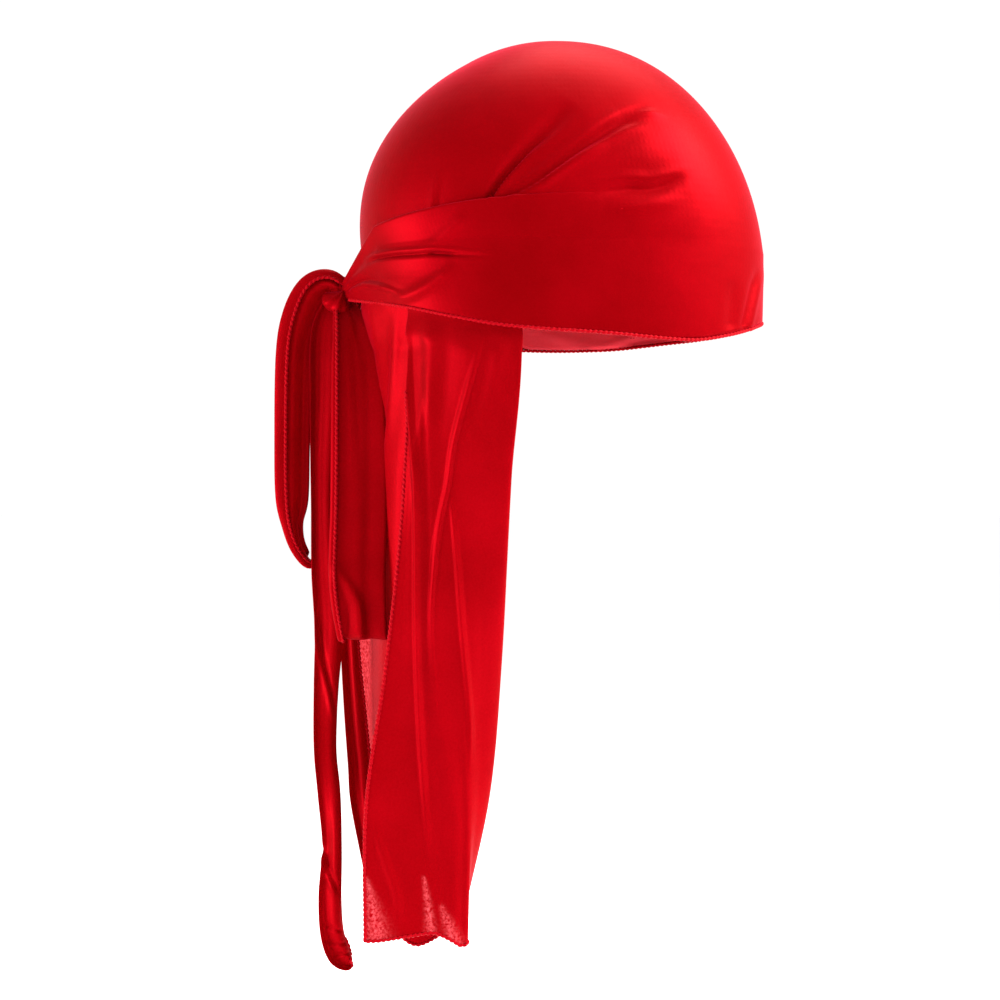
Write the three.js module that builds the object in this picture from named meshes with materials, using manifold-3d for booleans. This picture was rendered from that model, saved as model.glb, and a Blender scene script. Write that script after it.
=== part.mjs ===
// A satin durag in the form it has when worn: a domed crown, two wide straps that wrap round it and
// are tied in a bow behind the head, and a long tail that hangs from the nape.
// Millimetres. +X is the wearer's front, +Y the wearer's left and +Z up.
// The origin is the middle of the head opening, level with the rim.
import * as THREE from "three";
import { mergeVertices } from "three/addons/utils/BufferGeometryUtils.js";
import Module from "manifold-3d";

const wasm = await Module();
wasm.setup();

// Driving dimensions
const CROWN_WALL = 1.5;
const STRAP_WALL = 1.4;
const TAIL_WALL = 1.2;
const HEM_RADIUS = 1.2;
const GAP = 0.35; // clear space that touching pieces keep

// The head form that the cloth is stretched over, as half axes from one centre line
const HEAD = {
  centre: -2,
  front: 105.4,
  back: 100.2,
  half: 77.5,
  waist: 40, // height of the widest section
  top: 149.6,
  squareness: 2.2, // 2 is an ellipse
  egg: 0.06, // how much narrower the brow is than the back
  backFullness: 0.05, // how much fuller than an ellipse each side is between the waist and the top
  sideFullness: 0.1,
  frontFullness: -0.038,
  frontTuck: 1, // how far each side leans in over the skirt's height
  sideTuck: 3,
  backTuck: 9,
  skirt: 50,
};

// Height of the hem's lower edge round the head: 0 degrees is the brow, 180 the nape
const RIM = [
  { angle: 0, near: 5, far: 5 },
  { angle: 20, near: 0.3, far: 3 },
  { angle: 40, near: -5.6, far: 0.5 },
  { angle: 55, near: -8.8, far: -1 },
  { angle: 80, near: -6.4, far: -4 },
  { angle: 105, near: -2.8, far: -3 },
  { angle: 120, near: 1.7, far: 1.7 },
  { angle: 140, near: 8, far: 8 },
  { angle: 180, near: 16, far: 16 },
];

// Height of the folded top edge of each strap
const STRAP_TOP = [
  { angle: 66, near: 66, far: 62 },
  { angle: 85, near: 61, far: 58 },
  { angle: 110, near: 56.5, far: 54 },
  { angle: 135, near: 51.5, far: 50 },
  { angle: 150, near: 48, far: 47 },
];

// Pull folds that fan from the straps over the crown, from x0, z0 to x1, z1, with depth outwards
const PULL_FOLDS = [
  { side: -1, x0: -38, z0: 57, x1: 4, z1: 105, depth: -3, width: 9 },
  { side: -1, x0: -24, z0: 62, x1: 26, z1: 102, depth: 2, width: 9 },
  { side: -1, x0: -19, z0: 70, x1: 42, z1: 103, depth: -2.6, width: 8 },
  { side: -1, x0: 14, z0: 62, x1: 58, z1: 71, depth: -2, width: 9 },
  { side: 1, x0: -42, z0: 56, x1: -4, z1: 100, depth: -2.8, width: 9 },
  { side: 1, x0: -26, z0: 60, x1: 24, z1: 96, depth: 2, width: 9 },
  { side: 1, x0: 8, z0: 60, x1: 56, z1: 74, depth: -2, width: 9 },
];

const KNOT = { x: -112.5, y: 0, z: 21.5, radiusX: 8, radiusY: 9, radiusZ: 9.5, turn: 2.6 };

const { clamp, degToRad, lerp: mix, smoothstep } = THREE.MathUtils;
const ease = (low, high, at) => smoothstep(at, low, high);

// A smooth curve through one column of a table whose rows are in the order of key
function along(rows, key, name, at) {
  const last = rows.length - 1;
  const here = clamp(at, rows[0][key], rows[last][key]);
  let i = 0;
  while (i < last - 1 && rows[i + 1][key] < here) i += 1;
  const slope = (a, b) => (rows[b][name] - rows[a][name]) / (rows[b][key] - rows[a][key]);
  const step = rows[i + 1][key] - rows[i][key];
  const t = (here - rows[i][key]) / step;
  const leave = slope(Math.max(i - 1, 0), i + 1) * step;
  const arrive = slope(i, Math.min(i + 2, last)) * step;
  const from = rows[i][name];
  const to = rows[i + 1][name];
  return (
    from + t * (leave + t * (3 * (to - from) - 2 * leave - arrive + t * (leave + arrive - 2 * (to - from))))
  );
}

// Height as the share of the dome climbed: negative values are millimetres below the widest section
function levelOf(z) {
  if (z <= HEAD.waist) return z - HEAD.waist;
  return Math.asin(Math.min(1, (z - HEAD.waist) / (HEAD.top - HEAD.waist))) / (Math.PI / 2);
}

// A point of the head form, standOff millimetres outside it
function headPoint(angle, level, standOff) {
  const turn = degToRad(angle);
  const climb = (Math.max(level, 0) * Math.PI) / 2;
  const lean = level < 0 ? Math.min(1, -level / HEAD.skirt) ** 2 : 0;
  const bulge = Math.max(0, Math.sin(3 * climb));
  const shoulder = Math.max(0, Math.sin(2 * climb));
  const front =
    (HEAD.front + standOff - HEAD.frontTuck * lean) *
    Math.cos(climb) *
    (1 + HEAD.frontFullness * Math.sqrt(shoulder));
  const back =
    (HEAD.back + standOff - HEAD.backTuck * lean) * Math.cos(climb) * (1 + HEAD.backFullness * bulge);
  const half =
    (HEAD.half + standOff - HEAD.sideTuck * lean) * Math.cos(climb) * (1 + HEAD.sideFullness * shoulder);
  const rounded = (value) => Math.sign(value) * Math.abs(value) ** (2 / HEAD.squareness);
  const c = Math.cos(turn);
  return new THREE.Vector3(
    HEAD.centre + rounded(c) * (c > 0 ? front : back),
    rounded(Math.sin(turn)) * half * (1 - HEAD.egg * c),
    HEAD.waist + Math.min(level, 0) + (HEAD.top + standOff - HEAD.waist) * Math.sin(climb)
  );
}

// How far a pull fold lifts or sinks the crown at a point
function foldLift(point) {
  let lift = 0;
  for (const fold of PULL_FOLDS) {
    if (fold.side * point.y < 0) continue;
    const run = { x: fold.x1 - fold.x0, z: fold.z1 - fold.z0 };
    const square = run.x ** 2 + run.z ** 2;
    const t = clamp(((point.x - fold.x0) * run.x + (point.z - fold.z0) * run.z) / square, 0, 1);
    const away = Math.hypot(point.x - fold.x0 - t * run.x, point.z - fold.z0 - t * run.z);
    lift += fold.depth * Math.exp(-((away / fold.width) ** 2)) * Math.sin(Math.PI * (0.15 + 0.85 * t));
  }
  return lift;
}

const sideName = (angle) => (angle < 0 ? "near" : "far");
const rimHeight = (angle) => along(RIM, "angle", sideName(angle), Math.abs(angle));
const clothEdge = (angle) => rimHeight(angle) + 2 * HEM_RADIUS + GAP;
const strapTop = (angle) => along(STRAP_TOP, "angle", sideName(angle), Math.abs(angle));

// Turns a vertex list and triangles into a geometry whose faces point outwards
function closedGeometry(vertices, triangles) {
  const normal = new THREE.Vector3();
  const outward = ([p, q, r]) => normal.crossVectors(vertices[q], vertices[r]).dot(vertices[p]);
  const volume = triangles.reduce((sum, triangle) => sum + outward(triangle), 0);
  const index = triangles.flatMap(([p, q, r]) => (volume < 0 ? [p, r, q] : [p, q, r]));
  const geometry = new THREE.BufferGeometry().setFromPoints(vertices);
  geometry.setIndex(index);
  geometry.computeVertexNormals();
  return geometry;
}

// A cloth wall round a grid of points on the middle of the cloth, thicker along its hemmed edges
function clothGeometry(grid, wall, hem = 0) {
  const rows = grid.length;
  const columns = grid[0].length;
  const at = (i, j) => grid[clamp(i, 0, rows - 1)][clamp(j, 0, columns - 1)];
  const vertices = [];
  for (const side of [1, -1])
    for (let i = 0; i < rows; i += 1)
      for (let j = 0; j < columns; j += 1) {
        const down = at(i + 1, j).clone().sub(at(i - 1, j));
        const across = at(i, j + 1).clone().sub(at(i, j - 1));
        const edge = j === 0 || j === columns - 1 || i === rows - 1;
        const offset = (side * (wall + (edge ? hem : 0))) / 2;
        vertices.push(down.cross(across).normalize().multiplyScalar(offset).add(at(i, j)));
      }
  const face = (side, i, j) => side * rows * columns + i * columns + j;
  const triangles = [];
  const quad = (p, q, r, s) => triangles.push([p, q, r], [p, r, s]);
  for (let i = 0; i < rows - 1; i += 1)
    for (let j = 0; j < columns - 1; j += 1) {
      quad(face(0, i, j), face(0, i + 1, j), face(0, i + 1, j + 1), face(0, i, j + 1));
      quad(face(1, i, j), face(1, i, j + 1), face(1, i + 1, j + 1), face(1, i + 1, j));
    }
  for (let i = 0; i < rows - 1; i += 1) {
    quad(face(0, i, 0), face(1, i, 0), face(1, i + 1, 0), face(0, i + 1, 0));
    const end = columns - 1;
    quad(face(0, i, end), face(0, i + 1, end), face(1, i + 1, end), face(1, i, end));
  }
  for (let j = 0; j < columns - 1; j += 1) {
    quad(face(0, 0, j), face(0, 0, j + 1), face(1, 0, j + 1), face(1, 0, j));
    const end = rows - 1;
    quad(face(0, end, j), face(1, end, j), face(1, end, j + 1), face(0, end, j + 1));
  }
  return closedGeometry(vertices, triangles);
}

function solidOf(geometry) {
  const bare = geometry.index ? geometry.toNonIndexed() : geometry.clone();
  bare.deleteAttribute("normal");
  bare.deleteAttribute("uv");
  const merged = mergeVertices(bare, 1e-3);
  const mesh = new wasm.Mesh({
    numProp: 3,
    vertProperties: merged.attributes.position.array,
    triVerts: new Uint32Array(merged.index.array),
  });
  return new wasm.Manifold(mesh);
}

function geometryOf(solid) {
  const mesh = solid.getMesh();
  const geometry = new THREE.BufferGeometry();
  geometry.setAttribute("position", new THREE.BufferAttribute(mesh.vertProperties, 3));
  geometry.setIndex(new THREE.BufferAttribute(mesh.triVerts, 1));
  geometry.computeVertexNormals();
  return geometry;
}

// A piece with another one's space cut out of it; of what is left, the largest body is kept
function trimmed(geometry, ...cutters) {
  const left = cutters.reduce((solid, cutter) => solid.subtract(solidOf(cutter)), solidOf(geometry));
  const bodies = left.decompose().sort((a, b) => b.volume() - a.volume());
  return geometryOf(bodies[0]);
}

// Crown: a stretched dome, cut off under the straps where the tail goes on down. It is sewn from two
// panels, which meet at a seam along the middle from the brow to the nape
const TAIL_ANGLE = 104; // where the tail starts, from the brow
const JOIN_RISE = 10; // how far above the rim the crown ends there

const crownEdge = (angle) =>
  clothEdge(angle) + JOIN_RISE * ease(TAIL_ANGLE - 8, TAIL_ANGLE + 6, Math.abs(angle));

function crownGeometry() {
  const columns = 60;
  const skirtRows = 4;
  const domeRows = 12;
  const crowding = 8; // degrees that columns are moved towards the sides, where the folds are
  const vertices = [];
  for (const inset of [0, CROWN_WALL])
    for (let i = 0; i < skirtRows + domeRows; i += 1)
      for (let j = 0; j < columns; j += 1) {
        const even = (360 * j) / columns - 180;
        const angle = even + crowding * Math.sin(degToRad(2 * even));
        const edge = levelOf(crownEdge(angle));
        const level = i < skirtRows ? mix(edge, 0, i / skirtRows) : (i - skirtRows) / domeRows;
        const lift = foldLift(headPoint(angle, level, 0));
        vertices.push(headPoint(angle, level, lift - inset));
      }
  const rows = skirtRows + domeRows;
  const face = (side, i, j) => side * rows * columns + i * columns + (j % columns);
  const triangles = [];
  const quad = (p, q, r, s) => triangles.push([p, q, r], [p, r, s]);
  for (let j = 0; j < columns; j += 1) {
    for (let i = 0; i < rows - 1; i += 1) {
      quad(face(0, i, j), face(0, i, j + 1), face(0, i + 1, j + 1), face(0, i + 1, j));
      quad(face(1, i, j), face(1, i + 1, j), face(1, i + 1, j + 1), face(1, i, j + 1));
    }
    quad(face(0, 0, j), face(1, 0, j), face(1, 0, j + 1), face(0, 0, j + 1));
  }
  for (const side of [0, 1]) {
    const apex = vertices.length;
    vertices.push(headPoint(0, 1, -side * CROWN_WALL));
    for (let j = 0; j < columns; j += 1) {
      const ring = [face(side, rows - 1, j), face(side, rows - 1, j + 1)];
      triangles.push(side ? [ring[1], ring[0], apex] : [ring[0], ring[1], apex]);
    }
  }
  return closedGeometry(vertices, triangles);
}

function crownPanel(side) {
  return geometryOf(solidOf(crownGeometry()).trimByPlane([0, side, 0], GAP / 2));
}

// Straps: each lies on the crown from the temple to the back, and then runs free to the knot, pleated
const STRAP = {
  startTop: 80, // the front end slants from here, at the top edge
  startRim: 50, // to here, at the rim
  leave: 150,
  onHead: 0.78, // share of its width at which it leaves the head
  pleats: 2.5,
  pleatDepth: 2.2,
  gatherFrom: 0.35, // share of its width at which the pleats begin
  gathered: 13, // its width in the knot
  hemReach: 0.97, // share of its width at which the hem ends in the knot
};

function strapPoint(side, u, v) {
  const onHead = Math.min(u / STRAP.onHead, 1);
  const angle = side * mix(mix(STRAP.startRim, STRAP.startTop, v), STRAP.leave, onHead);
  const z = mix(clothEdge(angle), strapTop(angle), v);
  const gather = ease(STRAP.gatherFrom, 1, u);
  const pleat = (STRAP.pleatDepth * (1 - Math.cos(2 * Math.PI * STRAP.pleats * v))) / 2;
  const lift = Math.max(0, foldLift(headPoint(angle, levelOf(z), 0)));
  const point = headPoint(angle, levelOf(z), GAP + STRAP_WALL / 2 + gather * pleat + lift);
  const free = Math.max(0, (u - STRAP.onHead) / (1 - STRAP.onHead));
  const knotSide = new THREE.Vector3(
    KNOT.x + 1 - pleat / 2,
    side * (KNOT.radiusY - pleat / 4),
    KNOT.z + (v - 0.5) * STRAP.gathered
  );
  return point.lerp(knotSide, free);
}

function strapGeometry(side) {
  const rows = 8;
  const columns = 20;
  const grid = Array.from({ length: rows }, (_, i) =>
    Array.from({ length: columns }, (_, j) => strapPoint(side, j / (columns - 1), 1 - i / (rows - 1)))
  );
  return clothGeometry(grid, STRAP_WALL);
}

// Front hem: the overlocked edge, one round cord of thread under the rim from knot to knot
function hemGeometry() {
  const steps = 60;
  const browShare = 0.3; // share of the hem that is on the crown itself
  const points = [];
  for (let i = 0; i <= steps; i += 1) {
    const u = Math.abs((2 * i) / steps - 1); // 0 at the brow, 1 at the knot
    const side = i < steps / 2 ? -1 : 1;
    const brow = Math.min(u / browShare, 1);
    const angle = side * STRAP.startRim * brow;
    const standOff = mix(-CROWN_WALL / 2, GAP + STRAP_WALL / 2, ease(0.5, 1, brow));
    const point =
      brow < 1
        ? headPoint(angle, levelOf(clothEdge(angle)), standOff)
        : strapPoint(side, (STRAP.hemReach * (u - browShare)) / (1 - browShare), 0);
    point.z -= HEM_RADIUS + GAP;
    points.push(point);
  }
  const ring = new THREE.Shape().absarc(0, 0, HEM_RADIUS, 0, 2 * Math.PI);
  return new THREE.ExtrudeGeometry(ring, {
    steps,
    curveSegments: 3,
    extrudePath: new THREE.CatmullRomCurve3(points),
  });
}

// Tail: one sheet, listed from its near hem to its far hem. Its near side is turned back over itself,
// so the near hem lies outside. angle and off say where each fold leaves the head, plan is its x and y
// at the heights of TAIL_LEVELS from the top down, and hem is how much higher its lower end hangs
const TAIL_LEVELS = [-85, -170, -235, -304];
const TAIL_FOLDS = [
  { at: 0, angle: -139, off: 3.4, hem: 0, plan: [[-78.5, -54], [-88, -44], [-97.5, -40], [-98.4, -35]] },
  { at: 0.05, angle: -134, off: 3, hem: 0.5, plan: [[-76, -50], [-81, -37], [-88, -32], [-89, -27]] },
  { at: 0.11, angle: -129, off: 4.6, hem: 4, plan: [[-72.5, -59], [-73, -50], [-69, -43], [-67, -38]] },
  { at: 0.16, angle: -123, off: 3.2, hem: 3, plan: [[-64, -54], [-68, -39], [-62, -33], [-61, -28]] },
  { at: 0.2, angle: -115, off: 4.4, hem: 0, plan: [[-57.5, -60], [-63, -49], [-55, -42], [-55, -37]] },
  { at: 0.25, angle: -110, off: 3.4, hem: -2.5, plan: [[-54, -56], [-55, -41], [-50, -35], [-51, -30]] },
  { at: 0.3, angle: -106, off: 4.2, hem: -2.5, plan: [[-49, -60], [-48.5, -47], [-46.5, -40], [-47.5, -34]] },
  { at: 0.34, angle: -103, off: 3.2, hem: 3, plan: [[-40, -58], [-46, -37], [-47, -29], [-50, -24]] },
  { at: 0.39, angle: -100, off: 2.6, hem: 3, plan: [[-27, -60], [-31, -32], [-37, -24], [-52, -17]] },
  { at: 0.43, angle: -104, off: -0.8, hem: 0, plan: [[-31, -52], [-38, -23], [-44, -16], [-58, -11]] },
  { at: 0.5, angle: -126, off: -0.8, hem: -9, plan: [[-57, -40], [-60, -25], [-66, -18], [-73, -16]] },
  { at: 0.6, angle: -152, off: -0.8, hem: 0, plan: [[-80, -31], [-84, -19], [-86, -15], [-84, -11]] },
  { at: 0.68, angle: -180, off: -0.8, hem: 2, plan: [[-88, -3], [-99, 15], [-98, 14], [-87, 6]] },
  { at: 0.76, angle: -206, off: -0.8, hem: 0, plan: [[-85, 26], [-106, 30], [-101, 26], [-84, 22]] },
  { at: 0.86, angle: -232, off: -0.8, hem: 2, plan: [[-64, 47], [-70, 46], [-70, 40], [-68, 34]] },
  { at: 0.95, angle: -252, off: -0.8, hem: 0, plan: [[-38, 57], [-44, 46], [-50, 40], [-54, 35]] },
  { at: 1, angle: -258, off: -0.8, hem: 0, plan: [[-32, 53], [-40, 38], [-46, 32], [-52, 27]] },
];
const FRONT_FOLD = 0.39; // share of the width at the turned fold
const NAPE = { leave: -4, free: -75, pull: 0.8 }; // heights between which the tail leaves the head form
const EDGE_EXTRA = { tail: 0.6, strap: 0.4 }; // how much thicker the overlocked edges are

function tailTop(across, angle) {
  const inside = ease(FRONT_FOLD + 0.03, FRONT_FOLD + 0.07, across);
  return mix(rimHeight(angle) - 2 * GAP, crownEdge(angle) - GAP, inside);
}

function tailPoint(across, down) {
  const rows = TAIL_FOLDS.map(({ plan, ...row }) => ({
    ...row,
    ...Object.fromEntries(plan.flatMap(([x, y], level) => [[`x${level}`, x], [`y${level}`, y]])),
  }));
  const get = (name) => along(rows, "at", name, across);
  const angle = get("angle") < -180 ? get("angle") + 360 : get("angle");
  const bottom = TAIL_LEVELS.at(-1) + get("hem");
  const z = mix(tailTop(across, angle), bottom, down);
  const onHead = headPoint(angle, levelOf(z), get("off"));
  const heights = [...TAIL_LEVELS.slice(0, -1), bottom];
  const levels = heights.map((height, i) => ({ z: height, x: get(`x${i}`), y: get(`y${i}`) })).reverse();
  levels.push({
    z: NAPE.leave,
    x: mix(get("x0"), onHead.x, NAPE.pull),
    y: mix(get("y0"), onHead.y, NAPE.pull),
  });
  const free = 1 - ease(NAPE.free, NAPE.leave, z);
  return new THREE.Vector3(
    mix(onHead.x, along(levels, "z", "x", z), free),
    mix(onHead.y, along(levels, "z", "y", z), free),
    z
  );
}

function tailGeometry() {
  const rows = 13;
  const columns = 45;
  const grid = Array.from({ length: rows }, (_, i) =>
    Array.from({ length: columns }, (_, j) => tailPoint(j / (columns - 1), i / (rows - 1)))
  );
  return clothGeometry(grid, TAIL_WALL, EDGE_EXTRA.tail);
}

// Bow: strands of strap, each a row of stations from the knot outwards. turn is the direction that the
// strand's width faces in plan, in degrees. The section gives how its cloth is folded, in half widths
// across and half depths out
const SIDE_LOOP = {
  section: [
    { across: -0.35, out: -1 },
    { across: -0.85, out: -0.8 },
    { across: -1, out: -0.1 },
    { across: -0.4, out: 0.7 },
    { across: 0.2, out: 0.3 },
    { across: 0.6, out: 1 },
    { across: 1, out: 0.7 },
  ],
  stations: [
    { x: -115.5, y: -2.5, z: 28.5, width: 8, depth: 4, turn: 60 },
    { x: -121, y: -5, z: 28.5, width: 12, depth: 4, turn: 50 },
    { x: -128, y: -7, z: 21, width: 17, depth: 5, turn: 40 },
    { x: -134, y: -8, z: 8, width: 16, depth: 6, turn: 25 },
    { x: -137.5, y: -8, z: -12, width: 16, depth: 6, turn: 15 },
    { x: -138.5, y: -7, z: -55, width: 16, depth: 6, turn: 12 },
    { x: -138.5, y: -6, z: -86, width: 16, depth: 6, turn: 18 },
    { x: -135.5, y: -3, z: -107, width: 12, depth: 5, turn: 40 },
    { x: -129, y: 4, z: -118.5, width: 10, depth: 4, turn: 65 },
    { x: -123, y: 9, z: -112, width: 10, depth: 4, turn: 100 },
    { x: -121, y: 12, z: -86, width: 12, depth: 5, turn: 150 },
    { x: -122, y: 12, z: -50, width: 14, depth: 5, turn: 165 },
    { x: -123, y: 11, z: -12, width: 12, depth: 4, turn: 160 },
    { x: -121.5, y: 7, z: 8, width: 9, depth: 3, turn: 140 },
    { x: -117, y: 3, z: 18, width: 7, depth: 3, turn: 130 },
  ],
};
const FRONT_LOOP = {
  section: [
    { across: -1, out: -0.4 },
    { across: -0.8, out: -1 },
    { across: -0.3, out: 0.1 },
    { across: 0.2, out: 0.9 },
    { across: 0.6, out: -0.2 },
    { across: 1, out: 0.4 },
  ],
  stations: [
    { x: -110, y: -6, z: 14, width: 8, depth: 3, turn: 8 },
    { x: -107.5, y: -15, z: 3, width: 15, depth: 4, turn: 6 },
    { x: -104, y: -21, z: -16, width: 23, depth: 4, turn: 4 },
    { x: -102.5, y: -24, z: -48, width: 27, depth: 5, turn: 2 },
    { x: -102.3, y: -25, z: -90, width: 28, depth: 5, turn: 0 },
    { x: -103, y: -25, z: -125, width: 28, depth: 5, turn: 0 },
    { x: -101, y: -22, z: -151, width: 25, depth: 4, turn: 0 },
    { x: -100.5, y: -17, z: -154, width: 24, depth: 2, turn: 0 },
    { x: -101.5, y: -12.5, z: -148, width: 22, depth: 2, turn: 0 },
    { x: -104, y: -11, z: -110, width: 20, depth: 2, turn: 0 },
    { x: -105, y: -10, z: -50, width: 18, depth: 2, turn: 2 },
    { x: -107, y: -8, z: -8, width: 12, depth: 2, turn: 4 },
    { x: -110, y: -4, z: 10, width: 8, depth: 2, turn: 6 },
  ],
};
const LONG_TIE = {
  section: [
    { across: -1, out: 0.3 },
    { across: -0.6, out: -1 },
    { across: 0, out: 0.2 },
    { across: 0.5, out: 1 },
    { across: 1, out: -0.2 },
  ],
  stations: [
    { x: -118, y: -3.5, z: 13, width: 7, depth: 3, turn: 20 },
    { x: -121.5, y: -5, z: 0, width: 10, depth: 4, turn: 15 },
    { x: -122.5, y: -6, z: -32, width: 11, depth: 4, turn: 10 },
    { x: -122, y: -5, z: -90, width: 12, depth: 4, turn: 5 },
    { x: -121, y: -3, z: -122, width: 14, depth: 4, turn: 5 },
    { x: -119, y: -4, z: -150, width: 15, depth: 4, turn: 0 },
    { x: -120, y: -4, z: -182, width: 14, depth: 3, turn: 0 },
    { x: -120.5, y: -4, z: -212, width: 13, depth: 3, turn: 10 },
    { x: -118.5, y: -4, z: -235, width: 12.5, depth: 3, turn: 0 },
    { x: -117, y: -4, z: -262, width: 11, depth: 4, turn: -20 },
    { x: -118.5, y: -4, z: -288, width: 12, depth: 5, turn: 0 },
    { x: -117.5, y: -4, z: -310, width: 11, depth: 6, turn: 15 },
    { x: -111.5, y: -4, z: -320, width: 9, depth: 5, turn: 30 },
  ],
};
const SHORT_TIE = {
  section: [
    { across: -1, out: 0.3 },
    { across: -0.4, out: -1 },
    { across: 0.3, out: 0.8 },
    { across: 1, out: 0 },
  ],
  stations: [
    { x: -113.5, y: 5, z: 11, width: 7, depth: 3, turn: -10 },
    { x: -112, y: 9, z: -4, width: 9, depth: 3, turn: -8 },
    { x: -110, y: 10, z: -50, width: 9, depth: 3, turn: 0 },
    { x: -110, y: 10, z: -110, width: 9, depth: 3, turn: 0 },
    { x: -110, y: 8, z: -156, width: 9, depth: 3, turn: 0 },
    { x: -108, y: 6, z: -190, width: 11, depth: 3, turn: 5 },
    { x: -105.5, y: 2, z: -221, width: 13, depth: 3, turn: 5 },
    { x: -104, y: -2, z: -240, width: 12, depth: 3, turn: 0 },
    { x: -97, y: -8, z: -273, width: 8, depth: 2, turn: 0 },
  ],
};

function strandGeometry({ section, stations }, rows, wall) {
  const numbered = stations.map((station, i) => ({ ...station, i }));
  const get = (name, t) => along(numbered, "i", name, t);
  const centre = (t) => new THREE.Vector3(get("x", t), get("y", t), get("z", t));
  const end = stations.length - 1;
  const grid = Array.from({ length: rows }, (_, row) => {
    const t = (end * row) / (rows - 1);
    const ahead = centre(Math.min(t + 0.2, end)).sub(centre(Math.max(t - 0.2, 0))).normalize();
    const turn = degToRad(get("turn", t));
    const facing = new THREE.Vector3(Math.cos(turn), Math.sin(turn), 0);
    const out = facing.clone().cross(ahead).normalize();
    const widthways = ahead.clone().cross(out).normalize();
    return section.map((fold) =>
      centre(t)
        .addScaledVector(widthways, (get("width", t) / 2) * fold.across)
        .addScaledVector(out, (-get("depth", t) / 2) * fold.out)
    );
  });
  return clothGeometry(grid, wall, EDGE_EXTRA.strap);
}

// Knot: a pinched core with two crossing turns of strap round it
function knotGeometry(grow = 0) {
  const core = new THREE.SphereGeometry(1, 12, 8);
  core.scale(KNOT.radiusX - 1 + grow, KNOT.radiusY - 1 + grow, KNOT.radiusZ - 1 + grow);
  const turns = [
    { tilt: 20, lean: 65, thick: 1 },
    { tilt: -38, lean: 100, thick: 0.9 },
  ].map(({ tilt, lean, thick }) => {
    const ring = new THREE.TorusGeometry(KNOT.radiusY - KNOT.turn, KNOT.turn * thick + grow, 6, 14);
    ring.scale(0.92, 1, 1.3);
    ring.rotateY(degToRad(lean));
    ring.rotateX(degToRad(tilt));
    return ring;
  });
  const whole = turns.reduce((solid, turn) => solid.add(solidOf(turn)), solidOf(core));
  const geometry = geometryOf(whole);
  geometry.translate(KNOT.x, KNOT.y, KNOT.z);
  return geometry;
}

// Assembly
function cloth(colour, roughness) {
  return new THREE.MeshStandardMaterial({ color: colour, roughness, metalness: 0 });
}

const SATIN = "#c8041a";
const THREAD = "#a80014";
const durag = new THREE.Group();
function place(name, geometry, material) {
  const mesh = new THREE.Mesh(geometry, material);
  mesh.name = name;
  durag.add(mesh);
}

const knotSpace = knotGeometry(GAP);
const spare = 4 * GAP;
const sideLoop = trimmed(strandGeometry(SIDE_LOOP, 31, STRAP_WALL), knotSpace);
const sideLoopSpace = strandGeometry(SIDE_LOOP, 31, STRAP_WALL + spare);
const frontLoop = trimmed(strandGeometry(FRONT_LOOP, 25, STRAP_WALL), knotSpace, sideLoopSpace);
const frontLoopSpace = strandGeometry(FRONT_LOOP, 25, STRAP_WALL + spare);
const longTie = trimmed(
  strandGeometry(LONG_TIE, 25, STRAP_WALL),
  knotSpace,
  sideLoopSpace,
  frontLoopSpace
);
const shortTie = trimmed(strandGeometry(SHORT_TIE, 17, STRAP_WALL), knotSpace, sideLoopSpace);

place("crown_right", crownPanel(-1), cloth(SATIN, 0.4));
place("crown_left", crownPanel(1), cloth(SATIN, 0.4));
place("right_strap", trimmed(strapGeometry(-1), knotSpace, sideLoopSpace), cloth(SATIN, 0.4));
place("left_strap", trimmed(strapGeometry(1), knotSpace, sideLoopSpace), cloth(SATIN, 0.4));
place("front_hem", trimmed(hemGeometry(), knotSpace, frontLoopSpace), cloth(THREAD, 0.7));
place("tail", tailGeometry(), cloth(SATIN, 0.45));
place("knot", knotGeometry(), cloth(SATIN, 0.45));
place("bow_loop_side", sideLoop, cloth(SATIN, 0.45));
place("bow_loop_front", frontLoop, cloth(SATIN, 0.45));
place("tie_end_long", longTie, cloth(SATIN, 0.45));
place("tie_end_short", shortTie, cloth(SATIN, 0.45));

export default durag;
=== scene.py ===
# %% [markdown]
# # A satin durag in the form it has when worn
#
# A durag is a thin satin head wrap. Its crown is stretched over the head, two wide straps go round
# to the back and are tied in a bow, and a long tail hangs down from the nape. Everything here is
# thin cloth, so every piece is made in the same way: a grid of points is worked out in code, moved
# by small folds, and given a thin wall. The frame below is the rigid model that the pieces follow.

# %% Load the frame
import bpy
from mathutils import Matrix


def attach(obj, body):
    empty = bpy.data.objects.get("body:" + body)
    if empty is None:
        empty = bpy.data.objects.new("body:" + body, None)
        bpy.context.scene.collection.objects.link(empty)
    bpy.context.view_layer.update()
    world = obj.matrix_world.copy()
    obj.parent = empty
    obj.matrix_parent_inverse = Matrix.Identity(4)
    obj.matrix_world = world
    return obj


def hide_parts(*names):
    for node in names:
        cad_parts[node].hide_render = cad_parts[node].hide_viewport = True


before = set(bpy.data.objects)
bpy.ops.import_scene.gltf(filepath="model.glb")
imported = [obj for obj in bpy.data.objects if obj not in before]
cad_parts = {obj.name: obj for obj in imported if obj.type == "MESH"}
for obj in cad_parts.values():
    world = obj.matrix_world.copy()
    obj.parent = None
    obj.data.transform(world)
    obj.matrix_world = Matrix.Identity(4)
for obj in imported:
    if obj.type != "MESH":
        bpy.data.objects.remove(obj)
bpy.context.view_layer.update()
print("frame nodes:", ", ".join(sorted(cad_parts)))

# %% Tools from Python and Blender
import math
import bpy
import numpy as np

# %% [markdown]
# ## The camera
#
# The durag is seen square from the wearer's right, from a metre away and a little below the rim, so
# the far rim shows under the near one. The camera is level.

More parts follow.
